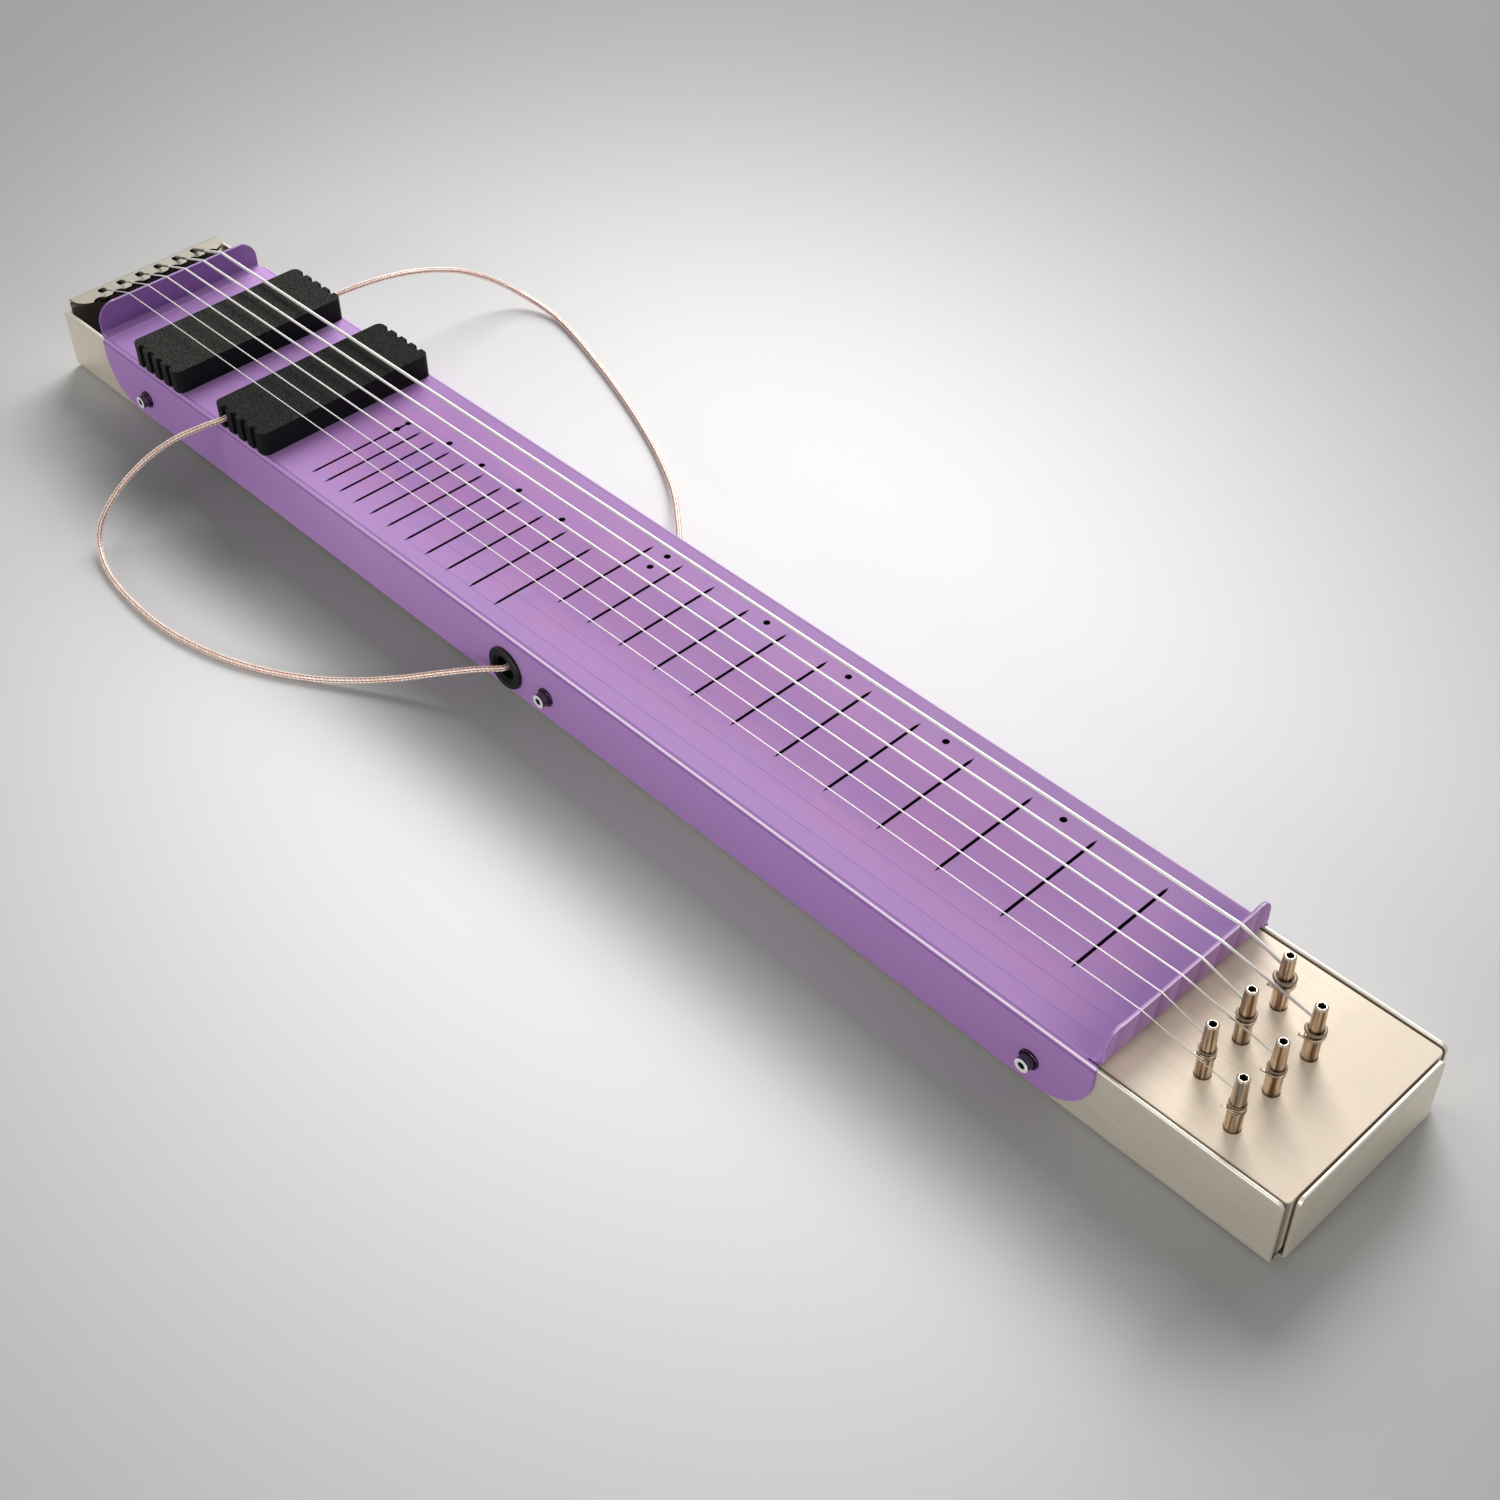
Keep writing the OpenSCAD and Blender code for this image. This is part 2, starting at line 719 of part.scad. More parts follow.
// Outline of a flange seen along X: straight in the middle, with a round lobe
// at each end
module flange_face(top, lobe, rise) {
    lobe_z = top + rise - lobe;
    translate([-flange_half, 0])
        square([2 * flange_half, lobe_z]);
    translate([lobe - flange_half, 0])
        square([2 * (flange_half - lobe), top]);
    for (side = [-1, 1])
        translate([side * (flange_half - lobe), lobe_z])
            circle(r = lobe);
}

// Notches that hold the strings in a flange
module string_notches(spacing, string_top) {
    for (n = [1:string_count])
        translate([0, string_rank(n) * spacing, string_top - string_r(n)]) {
            notch_r = string_r(n) + notch_fit;
            rotate([0, 90, 0])
                cylinder(r = notch_r, h = 4 * cover_sheet, center = true);
            translate([-2 * cover_sheet, -notch_r, 0])
                cube([4 * cover_sheet, 2 * notch_r, 3]);
        }
}

// One finished flange standing on the YZ plane, its bend towards -X
module flange(bend, string_top, spacing, lobe, rise) {
    difference() {
        intersection() {
            run_y(2 * flange_half)
                flange_section(bend, string_top + rise + 1);
            run_x(-bend - 2 * cover_sheet, cover_sheet)
                flange_face(string_top - notch_show, lobe, rise);
        }
        string_notches(spacing, string_top);
    }
}

// Room cut out of the top plate for a flange and for its corner reliefs
module flange_room(bend) {
    depth = bend + cover_sheet / 2;
    translate([-depth, -flange_half, tray_height - 1])
        cube([depth + 2 * cover_sheet, 2 * flange_half, cover_sheet + 2]);
    for (side = [-1, 1])
        translate([
            -depth - relief_width, side * (flange_half + relief_width / 2) - relief_width / 2,
            tray_height - 1
        ])
            cube([depth + relief_width + 2 * cover_sheet, relief_width, cover_sheet + 2]);
}

module note_slots() {
    for (n = [1:last_slot])
        translate([slot_x(n), n > octave ? high_slot_y : low_slot_y, tray_height - 1])
            linear_extrude(height = cover_sheet + 2)
                pointed_slot();
}

// Dot holes stand in the middle of their cell, before the slot of their number
module dot_hole(number, y) {
    translate([(slot_x(number) + slot_x(number - 1)) / 2, y, tray_height - 1])
        cylinder(r = dot_r, h = cover_sheet + 2);
}

module dot_holes() {
    for (n = low_dots)
        dot_hole(n, dot_low_y);
    for (n = high_dots)
        dot_hole(n, dot_high_y);
    dot_hole(octave, dot_low_y);
    dot_hole(octave, dot_low_y - octave_dot_gap);
    dot_hole(double_octave_dot, dot_high_y - 3.5);
    dot_hole(double_octave_dot, dot_high_y - 3.5 - last_dot_gap);
}

// Lower corners of the skirts, seen from the side
module skirt_corner_cuts() {
    translate([skirt_end_x, skirt_lift])
        mirror([0, 1])
            corner_spandrel(skirt_corner);
    translate([skirt_start_x, skirt_lift])
        mirror([1, 0])
            mirror([0, 1])
                corner_spandrel(skirt_corner);
}

module pickup_screw_holes() {
    for (mid = [bridge_pickup_mid, neck_pickup_mid], side = [-1, 1])
        translate([mid, side * boss_y, tray_height - 1])
            cylinder(r = screw_r + set_fit, h = cover_sheet + 2);
}

module cover() {
    color("mediumpurple")
        difference() {
            union() {
                difference() {
                    run_x(skirt_start_x, skirt_end_x)
                        cover_section();
                    translate([nut_x, 0, 0])
                        flange_room(nut_bend);
                    translate([bridge_x, 0, 0])
                        mirror([1, 0, 0])
                            flange_room(bridge_bend);
                }
                translate([nut_x, 0, 0])
                    flange(nut_bend, nut_string_top, nut_spacing, nut_lobe, nut_lobe_rise);
                translate([bridge_x, 0, 0])
                    mirror([1, 0, 0])
                        flange(
                            bridge_bend, bridge_string_top, bridge_spacing, bridge_lobe,
                            bridge_lobe_rise
                        );
                translate([bridge_x + cover_sheet / 2 + bridge_bend, -flange_half, tray_height])
                    cube([skirt_start_x - bridge_x, 2 * flange_half, cover_sheet]);
            }
            note_slots();
            dot_holes();
            run_y(3 * cover_half)
                skirt_corner_cuts();
            cover_screw_holes(screw_r + set_fit);
            side_holes();
            pickup_screw_holes();
        }
}

// Pin block

module pin_block() {
    width = tray_width - 2 * (tray_sheet + block_fit);
    length = block_end_x - block_start_x;
    color("wheat")
        difference() {
            intersection() {
                run_x(block_start_x, block_end_x)
                    translate([0, tray_sheet])
                        round_bottom(width, block_top - tray_sheet, tray_bend_out);
                translate([(block_start_x + block_end_x) / 2, 0, 0])
                    linear_extrude(height = block_top)
                        round_plate(length, width, block_corner);
                translate([block_end_x - length, 0, tray_sheet])
                    run_y(2 * width)
                        round_bottom(2 * length, block_top - tray_sheet, tray_bend_out);
            }
            for (n = [1:string_count])
                translate([pin_x(n), pin_y(n), block_top - pin_depth - bore_floor_gap])
                    cylinder(r = shank_r + pin_fit, h = pin_depth + 1);
            for (side = [0, 1])
                mirror([0, side, 0])
                    translate([nut_x - screw_x_1, 0, screw_z])
                        bar_y(nut_r + set_fit, width / 2 - nut_length - 1.5, width / 2 + 1);
        }
}

// Threaded sleeve on the Y axis whose face is at y and which runs inwards
module sleeve(y) {
    difference() {
        bar_y(nut_r, y - nut_length, y);
        bar_y(thread_r, y - nut_length - 1, y + 1);
    }
}

module block_inserts() {
    color("goldenrod")
        for (side = [0, 1])
            mirror([0, side, 0])
                translate([nut_x - screw_x_1, 0, screw_z])
                    sleeve(tray_half - tray_sheet);
}

module clinch_nuts() {
    color("silver")
        for (side = [0, 1], x = [grommet_x + screw_x_2, bridge_x + screw_x_3])
            mirror([0, side, 0])
                translate([x, 0, screw_z])
                    sleeve(tray_half - tray_sheet);
}

// Cover screws, on the +Y side

module cover_screw() {
    seat = cover_half + washer_thick;
    difference() {
        union() {
            bar_y(head_r, seat, seat + head_height);
            bar_y(screw_r, seat - washer_thick - screw_length, seat + eps);
        }
        translate([0, seat + head_height + eps, 0])
            rotate([90, 0, 0])
                cylinder(d = screw_socket / cos(30), h = head_height / 2, $fn = 6);
    }
}

module cover_screws(side) {
    color("lightgray")
        mirror([0, side, 0])
            for (x = cover_screw_xs())
                translate([x, 0, screw_z])
                    cover_screw();
}

module cover_screws_near() {
    cover_screws(1);
}

module cover_screws_far() {
    cover_screws(0);
}

module cover_washers() {
    color("dimgray")
        for (side = [0, 1], x = cover_screw_xs())
            mirror([0, side, 0])
                translate([x, 0, screw_z])
                    difference() {
                        bar_y(washer_r, cover_half, cover_half + washer_thick);
                        bar_y(screw_r + set_fit, cover_half - 1, cover_half + washer_thick + 1);
                    }
}

// Grommets and leads

// Half section of a grommet: x is the radius, y runs outwards from the cover
module grommet_section() {
    barrel_r = grommet_hole_r - set_fit;
    difference() {
        union() {
            translate([0, -grommet_depth])
                square([barrel_r, grommet_depth + grommet_lip]);
            square([grommet_r - grommet_lip / 2, grommet_lip]);
            translate([grommet_r - grommet_lip / 2, grommet_lip / 2])
                circle(d = grommet_lip);
            translate([0, -grommet_depth])
                square([grommet_r - 1, grommet_inner_lip]);
        }
        translate([-1, grommet_web - grommet_depth])
            square([grommet_recess_r + 1, grommet_depth + grommet_lip]);
        translate([-1, grommet_lip / 2])
            square([grommet_recess_r + 2, grommet_lip]);
        translate([-1, -grommet_depth - 1])
            square([lead_hole_r + 1, grommet_depth]);
    }
}

module grommet() {
    color("black")
        translate([grommet_x, cover_half, grommet_z])
            rotate([-90, 0, 0])
                rotate_extrude()
                    intersection() {
                        grommet_section();
                        translate([0, -grommet_depth - 1])
                            square([2 * grommet_r, 2 * grommet_depth + grommet_lip]);
                    }
}

module grommet_near() {
    mirror([0, 1, 0])
        grommet();
}

module grommet_far() {
    grommet();
}

module lead_near() {
    color("rosybrown")
        tube(smooth_route(near_route, 2), lead_r, cord_sides);
}

module lead_far() {
    color("rosybrown")
        tube(smooth_route(far_route, 2), lead_r, cord_sides);
}

module inner_leads() {
    color("rosybrown") {
        tube(smooth_route(near_inner_route, 3), lead_r, cord_sides);
        tube(smooth_route(far_inner_route, 3), lead_r, cord_sides);
    }
}

// Pickups, each built round the origin of its own middle on the cover

module grooved_plate() {
    difference() {
        round_plate(pickup_depth, pickup_length, pickup_corner);
        for (side = [-1, 1], k = [-1.5:1:1.5])
            translate([k * groove_step, side * pickup_length / 2])
                round_plate(groove_width, 2 * groove_depth, groove_width / 4);
    }
}

// Cover of a pickup; its lead leaves through the end on the exit side
module pickup_cover(exit_x, exit_side) {
    room_depth = pickup_depth - 2 * shell_wall;
    room_length = pickup_length - 2 * shell_end;
    color("dimgray")
        difference() {
            linear_extrude(height = pickup_height)
                grooved_plate();
            translate([0, 0, -1])
                linear_extrude(height = shell_room + 1)
                    round_plate(room_depth, room_length, pickup_corner - 1);
            translate([exit_x, exit_side * pickup_length / 2, lead_rise])
                bar_y(lead_hole_r, -2 * shell_end, 2 * shell_end);
        }
}

module pickup_base() {
    color("darkslategray")
        difference() {
            union() {
                linear_extrude(height = base_thick)
                    round_plate(pickup_depth - 2 * shell_wall - 0.2, 2 * base_half_length, 2);
                for (side = [-1, 1])
                    translate([0, side * boss_y, 0])
                        cylinder(r = boss_r, h = boss_height);
            }
            for (side = [-1, 1])
                translate([0, side * boss_y, -1])
                    cylinder(r = thread_r, h = boss_height + 2);
        }
}

module core_plate(extra) {
    round_plate(magnet_width + extra, magnet_length + extra, magnet_width / 4);
}

module pickup_bobbin() {
    color("ivory")
        translate([0, 0, base_thick])
            difference() {
                union() {
                    linear_extrude(height = bobbin_wall)
                        round_plate(coil_width, coil_length, 5);
                    translate([0, 0, bobbin_height - bobbin_wall])
                        linear_extrude(height = bobbin_wall)
                            round_plate(coil_width, coil_length, 5);
                    linear_extrude(height = bobbin_height)
                        core_plate(2 * bobbin_wall);
                }
                translate([0, 0, -1])
                    linear_extrude(height = bobbin_height + 2)
                        core_plate(2 * set_fit);
            }
}

module pickup_coil() {
    color("peru")
        translate([0, 0, base_thick + bobbin_wall + set_fit])
            linear_extrude(height = bobbin_height - 2 * (bobbin_wall + set_fit))
                difference() {
                    round_plate(coil_width - 1, coil_length - 1, 5);
                    core_plate(2 * (bobbin_wall + set_fit));
                }
}

module pickup_magnet() {
    color("slategray")
        translate([0, 0, base_thick])
            linear_extrude(height = bobbin_height - 0.2)
                core_plate(0);
}

module at_bridge_pickup() {
    translate([bridge_pickup_mid, 0, cover_top])
        children();
}

module at_neck_pickup() {
    translate([neck_pickup_mid, 0, cover_top])
        children();
}

module pickup_screws() {
    color("lightgray")
        for (mid = [bridge_pickup_mid, neck_pickup_mid], side = [-1, 1])
            translate([mid, side * boss_y, tray_height - pickup_screw_head])
                difference() {
                    union() {
                        cylinder(r = head_r, h = pickup_screw_head);
                        cylinder(r = screw_r, h = pickup_screw_head + cover_sheet + boss_height);
                    }
                    translate([0, 0, -eps])
                        cylinder(d = screw_socket / cos(30), h = pickup_screw_head / 2, $fn = 6);
                }
}

// Strings

// Turns of string n round its pin, from a first angle down through so many
// degrees, starting at height z and dropping so much a turn
function turns(n, first, sweep, z, drop) = [
    for (k = [0:ceil(coil_steps * sweep / 360)])
        let (a = min(k * 360 / coil_steps, sweep))
        [
            pin_x(n) + wind_r(n) * cos(first - a),
            pin_y(n) + wind_r(n) * sin(first - a),
            z - drop * a / 360
        ]
];

// String n from its ball end over the bridge and the nut to its standing turn
function string_path(n) = concat(
    [
        [tail_x + anchor_inset, string_rank(n) * bridge_spacing, anchor_ball_z() + ball_r + set_fit],
        [tail_x + anchor_inset, string_rank(n) * bridge_spacing, flap_top - tray_sheet / 2],
        [tail_x + anchor_inset + 0.7, string_rank(n) * bridge_spacing, flap_top + 0.8],
        [bridge_x - 0.6, string_rank(n) * bridge_spacing, bridge_string_z(n) - 0.1],
        [bridge_x + 0.6, string_rank(n) * bridge_spacing, bridge_string_z(n)],
        [nut_x - 0.6, string_rank(n) * nut_spacing, nut_string_z(n)],
        [nut_x + 0.6, string_rank(n) * nut_spacing, nut_string_z(n) - 0.05]
    ],
    turns(n, 90, standing_sweep, standing_z(n), 0)
);

// Turns of string n that move with its pin, and the cut tail that sticks out
// at their end
function winding_path(n) =
    let (wound = turns(n, wind_start, wound_sweep(n), wind_top_z(n), turn_pitch(n)))
    let (last = wound[len(wound) - 1])
    concat(wound, [
        last + [-tail_reach / 2, -0.2, 0.1],
        last + [-tail_reach, -0.7, 0.5]
    ]);

// Least gap of a tube of radius r to itself, between points half a turn apart
function least_gap(path, r) = min([
    for (i = [0:len(path) - 1], j = [i + coil_steps / 2:1:len(path) - 1])
        norm(path[i] - path[j])
]) - 2 * r;

for (n = [1:string_count])
    echo(str("winding ", n, ", least gap to itself: ", least_gap(winding_path(n), string_r(n)), " mm"));

module string(n) {
    color("whitesmoke")
        tube(string_path(n), string_r(n), string_sides);
}

module winding(n) {
    color("whitesmoke")
        tube(winding_path(n), string_r(n), string_sides);
}

function anchor_ball_z() = flap_top - tray_sheet - ball_r - set_fit;

module ball_ends() {
    color("goldenrod")
        for (n = [1:string_count])
            translate([tail_x + anchor_inset, string_rank(n) * bridge_spacing, anchor_ball_z()])
                difference() {
                    bar_y(ball_r, -ball_length / 2, ball_length / 2);
                    bar_y(ball_r / 3, -ball_length, ball_length);
                }
}

// Tuning pins

// Half section of a pin, with its shoulder, collar and tapered neck
module pin_section() {
    collar_top = shoulder_z + collar_height;
    translate([0, block_top - pin_depth])
        square([shank_r, shoulder_z - block_top + pin_depth]);
    translate([0, shoulder_z])
        square([collar_r - collar_height / 2, collar_height]);
    translate([collar_r - collar_height / 2, shoulder_z + collar_height / 2])
        circle(d = collar_height);
    polygon([
        [0, shoulder_z], [neck_r, shoulder_z], [neck_r, collar_top + neck_height],
        [crown_r, pin_top - crown_round], [crown_r - crown_round, pin_top], [0, pin_top]
    ]);
}

module tuning_pin(n) {
    color("tan")
        translate([pin_x(n), pin_y(n), 0])
            difference() {
                rotate_extrude()
                    pin_section();
                translate([0, 0, pin_top - pin_socket_depth])
                    cylinder(d = pin_socket / cos(30), h = pin_socket_depth + 1, $fn = 6);
            }
}

// Output jack

module jack_body() {
    housing_y = tray_half - tray_sheet;
    color("silver")
        translate([jack_x, 0, jack_z])
            difference() {
                union() {
                    bar_y(jack_bush_r, housing_y - eps, jack_outer_y);
                    translate([-jack_housing / 2, jack_rear_y, -jack_housing / 2])
                        cube([jack_housing, housing_y - jack_rear_y, jack_housing]);
                }
                bar_y(jack_bore_r, jack_outer_y - jack_bore_depth, jack_outer_y + 1);
            }
}

module jack_nut() {
    seat = cover_half + jack_washer_thick;
    color("silver")
        translate([jack_x, 0, jack_z])
            difference() {
                translate([0, seat + jack_nut_thick, 0])
                    rotate([90, 0, 0])
                        cylinder(d = jack_nut_flats / cos(30), h = jack_nut_thick, $fn = 6);
                bar_y(jack_bush_r + set_fit, seat - 1, seat + jack_nut_thick + 1);
            }
}

module jack_washer() {
    color("silver")
        translate([jack_x, 0, jack_z])
            difference() {
                bar_y(jack_nut_flats * 0.6, cover_half, cover_half + jack_washer_thick);
                bar_y(jack_bush_r + set_fit, cover_half - 1, cover_half + jack_washer_thick + 1);
            }
}

tray();
cover();
pin_block();
block_inserts();
clinch_nuts();
cover_screws_near();
cover_screws_far();
cover_washers();
grommet_near();
grommet_far();
lead_near();
lead_far();
inner_leads();
at_bridge_pickup() pickup_cover(bridge_exit_x, 1);  // bridge_pickup_cover
at_bridge_pickup() pickup_base();  // bridge_pickup_base
at_bridge_pickup() pickup_bobbin();  // bridge_pickup_bobbin
at_bridge_pickup() pickup_coil();  // bridge_pickup_coil
at_bridge_pickup() pickup_magnet();  // bridge_pickup_magnet
at_neck_pickup() pickup_cover(neck_exit_x, -1);  // neck_pickup_cover
at_neck_pickup() pickup_base();  // neck_pickup_base
at_neck_pickup() pickup_bobbin();  // neck_pickup_bobbin
at_neck_pickup() pickup_coil();  // neck_pickup_coil
at_neck_pickup() pickup_magnet();  // neck_pickup_magnet
pickup_screws();
string(1);  // string_1
string(2);  // string_2
string(3);  // string_3
string(4);  // string_4
string(5);  // string_5
string(6);  // string_6
ball_ends();
tuning_pin(1);  // tuning_pin_1
tuning_pin(2);  // tuning_pin_2
tuning_pin(3);  // tuning_pin_3
tuning_pin(4);  // tuning_pin_4
tuning_pin(5);  // tuning_pin_5
tuning_pin(6);  // tuning_pin_6
winding(1);  // winding_1
winding(2);  // winding_2
winding(3);  // winding_3
winding(4);  // winding_4
winding(5);  // winding_5
winding(6);  // winding_6
jack_body();
jack_nut();
jack_washer();
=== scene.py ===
"""Looks of the lap steel guitar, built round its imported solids.

Metres, in the model's own frame: +X to the head, +Y away from the player, +Z up.
"""

import math

import bpy
import numpy as np
from mathutils import Matrix, Vector


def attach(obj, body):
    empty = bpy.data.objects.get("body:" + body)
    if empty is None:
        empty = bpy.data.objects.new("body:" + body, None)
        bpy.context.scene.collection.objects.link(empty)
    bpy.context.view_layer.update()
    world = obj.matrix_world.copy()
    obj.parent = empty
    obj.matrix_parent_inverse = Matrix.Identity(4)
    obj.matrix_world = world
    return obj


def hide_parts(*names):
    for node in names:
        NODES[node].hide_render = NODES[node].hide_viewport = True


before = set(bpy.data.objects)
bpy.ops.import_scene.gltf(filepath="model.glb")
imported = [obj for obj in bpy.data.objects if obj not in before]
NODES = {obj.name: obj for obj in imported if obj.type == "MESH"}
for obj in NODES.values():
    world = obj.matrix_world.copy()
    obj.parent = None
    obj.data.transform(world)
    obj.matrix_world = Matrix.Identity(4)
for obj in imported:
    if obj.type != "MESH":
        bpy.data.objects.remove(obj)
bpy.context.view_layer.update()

BODY = "guitar_body"
MM = 0.001

# Places that the solids give, in metres
SCALE = 0.5715
NUT_X = 0.26625
BRIDGE_X = NUT_X - SCALE
TAIL_X, HEAD_X = -0.33725, 0.33725
COVER_TOP = 0.0312
BLOCK_TOP = 0.0293
FLAP_TOP = 0.0346
SHOULDER_Z = 0.0379
PIN_TOP = 0.0528
STRINGS = range(1, 7)
GAUGES = {1: 0.41, 2: 0.51, 3: 0.71, 4: 0.91, 5: 1.12, 6: 1.42}
# The pins stand in two rows, with the odd strings' row further from the nut
PIN_ROW_X, PIN_ROW_STEP = NUT_X + 0.022, 0.0185
PIN_PITCH, PIN_SHIFT = 0.0096, 0.0054
RANKS = {n: n - 3.5 for n in STRINGS}
PIN_XY = {
    n: (PIN_ROW_X + (PIN_ROW_STEP if n % 2 else 0), rank * PIN_PITCH - PIN_SHIFT)
    for n, rank in RANKS.items()
}
NUT_STRING_TOP = 0.0450
BRIDGE_STRING_TOP = 0.0447


def add_object(name, data):
    """A new object in the scene, of a mesh, a lamp or a camera."""
    made = bpy.data.objects.new(name, data)
    bpy.context.scene.collection.objects.link(made)
    return made


# Camera, at the photograph's angle

LENS_PIXELS, PHOTO_PIXELS, SENSOR = 2154.76, 1500, 36
CAMERA_PLACE = (0.49174, -0.39573, 0.55406)
CAMERA_TURN, CAMERA_DROP, CAMERA_TILT = -46.97, 43.60, -0.95


def make_camera():
    """Sets the camera where the photograph was taken from, by its turn, its drop and its tilt."""
    turn, drop, tilt = (math.radians(a) for a in (CAMERA_TURN, CAMERA_DROP, CAMERA_TILT))
    ahead = Vector((math.sin(turn) * math.cos(drop), math.cos(turn) * math.cos(drop), -math.sin(drop)))
    side = ahead.cross(Vector((0, 0, 1))).normalized()
    above = side.cross(ahead)
    right = side * math.cos(tilt) + above * math.sin(tilt)
    up = above * math.cos(tilt) - side * math.sin(tilt)
    data = bpy.data.cameras.new("camera")
    data.sensor_width = SENSOR
    data.lens = LENS_PIXELS / PHOTO_PIXELS * SENSOR
    data.clip_start, data.clip_end = 0.01, 20
    camera = add_object("camera", data)
    pose = Matrix((right, up, -ahead)).transposed().to_4x4()
    pose.translation = Vector(CAMERA_PLACE)
    camera.matrix_world = pose
    bpy.context.scene.camera = camera


make_camera()


# Node arithmetic


def srgb(*levels):
    """Linear colour from 0 to 255 levels as they look on screen."""
    shares = [level / 255 for level in levels]
    return tuple(c / 12.92 if c <= 0.04045 else ((c + 0.055) / 1.055) ** 2.4 for c in shares)


class Wire:
    """An output of a node that takes Python arithmetic. A Map Range node makes its smooth steps."""

    def __init__(self, nodes, socket):
        self.nodes, self.socket = nodes, socket

    def maths(self, operation, *others):
        return self.nodes.node("ShaderNodeMath", {"operation": operation}, [self, *others])

    def __add__(self, other):
        return self.maths("ADD", other)

    def __sub__(self, other):
        return self.maths("SUBTRACT", other)

    def __rsub__(self, other):
        return self.nodes.node("ShaderNodeMath", {"operation": "SUBTRACT"}, [other, self])

    def __mul__(self, other):
        return self.maths("MULTIPLY", other)

    def __truediv__(self, other):
        return self.maths("DIVIDE", other)

    __radd__ = __add__
    __rmul__ = __mul__

    def sin(self):
        return self.maths("SINE")

    def floor(self):
        return self.maths("FLOOR")

    def part(self):
        return self.maths("FRACT")

    def size(self):
        return self.maths("ABSOLUTE")

    def most(self, other):
        return self.maths("MAXIMUM", other)

    def least(self, other):
        return self.maths("MINIMUM", other)

    def root(self):
        return self.maths("SQRT")

    def power(self, other):
        return self.maths("POWER", other)

    def fade(self, low, high):
        """0 at low, 1 at high, smooth between them; low may be the larger."""
        settings = {"interpolation_type": "SMOOTHSTEP"}
        if low < high:
            return self.nodes.node("ShaderNodeMapRange", settings, [self, low, high, 0.0, 1.0])
        return self.nodes.node("ShaderNodeMapRange", settings, [self, high, low, 1.0, 0.0])


class Nodes:
    """A node tree whose nodes are written as expressions."""

    def __init__(self, tree):
        self.tree = tree

    def node(self, kind, settings=None, values=(), out=0):
        """One output of a new node: its settings go first, then its sockets' values or links."""
        made = self.tree.nodes.new(kind)
        for name, value in (settings or {}).items():
            setattr(made, name, value)
        pairs = values.items() if isinstance(values, dict) else enumerate(values)
        for key, value in pairs:
            socket = made.inputs[key]
            if isinstance(value, Wire):
                self.tree.links.new(value.socket, socket)
            elif isinstance(value, tuple) and socket.type == "RGBA":
                socket.default_value = (*value, 1)
            else:
                socket.default_value = value
        return Wire(self, made.outputs[out]) if made.outputs else None


class Finish(Nodes):
    """A material, with its patterns and the links to its shader."""

    def __init__(self, name, **constants):
        self.material = bpy.data.materials.new(name)
        self.material.use_nodes = True
        super().__init__(self.material.node_tree)
        self.shader = self.tree.nodes["Principled BSDF"]
        for socket, value in constants.items():
            self.shader.inputs[socket.replace("_", " ")].default_value = value

    def place(self):
        """Object coordinates, in metres."""
        return self.node("ShaderNodeTexCoord", out="Object")

    def axes(self, vector=None):
        """The three parts of a vector, or of the object coordinates."""
        made = self.node("ShaderNodeSeparateXYZ", values=[vector or self.place()])
        return [Wire(self, made.socket.node.outputs[k]) for k in range(3)]

    def uv(self):
        """The map's U, its V and nought."""
        return self.axes(self.node("ShaderNodeUVMap", {"uv_map": "wrap"}))

    def stretched(self, scale, turn=(0, 0, 0)):
        """Object coordinates scaled and turned for a pattern with a direction."""
        values = {"Vector": self.place(), "Rotation": turn, "Scale": scale}
        return self.node("ShaderNodeMapping", values=values)

    def vector(self, *parts):
        return self.node("ShaderNodeCombineXYZ", values=list(parts))

    def noise(self, vector, scale=1.0, detail=2.0, roughness=0.5, distortion=0.0):
        values = {
            "Vector": vector, "Scale": scale, "Detail": detail,
            "Roughness": roughness, "Distortion": distortion,
        }
        return self.node("ShaderNodeTexNoise", values=values)

    def bell(self, spread):
        """e to the power of minus spread: 1 at the middle, falling away from it."""
        return self.node("ShaderNodeMath", {"operation": "EXPONENT"}, [spread * -1])

    def chance(self, vector):
        """A steady random value for each place."""
        return self.node("ShaderNodeTexWhiteNoise", {"noise_dimensions": "3D"}, {"Vector": vector})

    def cells(self, vector, scale):
        """Distance to the nearest of scattered points."""
        return self.node("ShaderNodeTexVoronoi", {"feature": "F1"}, {"Vector": vector, "Scale": scale})

    def mix(self, share, first, second, kind="MIX"):
        """The first colour where share is 0, the second where it is 1."""
        settings = {"data_type": "RGBA", "blend_type": kind, "clamp_factor": True}
        return self.node("ShaderNodeMix", settings, {0: share, 6: first, 7: second}, out=2)

    def bump(self, height, depth, strength=1.0, normal=None):
        """A normal that follows the height, which is depth metres for 1."""
        values = {"Height": height, "Distance": depth, "Strength": strength}
        if normal:
            values["Normal"] = normal
        return self.node("ShaderNodeBump", values=values)

    def wear(self, **links):
        """Links what changes over the surface and gives the finished material."""
        for socket, value in links.items():
            self.tree.links.new(value.socket, self.shader.inputs[socket.replace("_", " ")])
        return self.material


# Finishes


DEEP_PURPLE = srgb(98, 58, 130)
SEMITONES = 12
FIELD_WIDTH = 0.00995
SCORE_START_X, SCORE_END_X = -0.090, 0.259
SCORE_SIDES = ((-0.0352, -0.0334), (-0.0252, -0.0246))
FOLD_LINE, FOLD_SHOULDER = 0.0121, 0.0017
BRIDGE_FOOT_X = -0.2993
CREASE_WIDTH, CREASE_SLANT = 0.010, 26


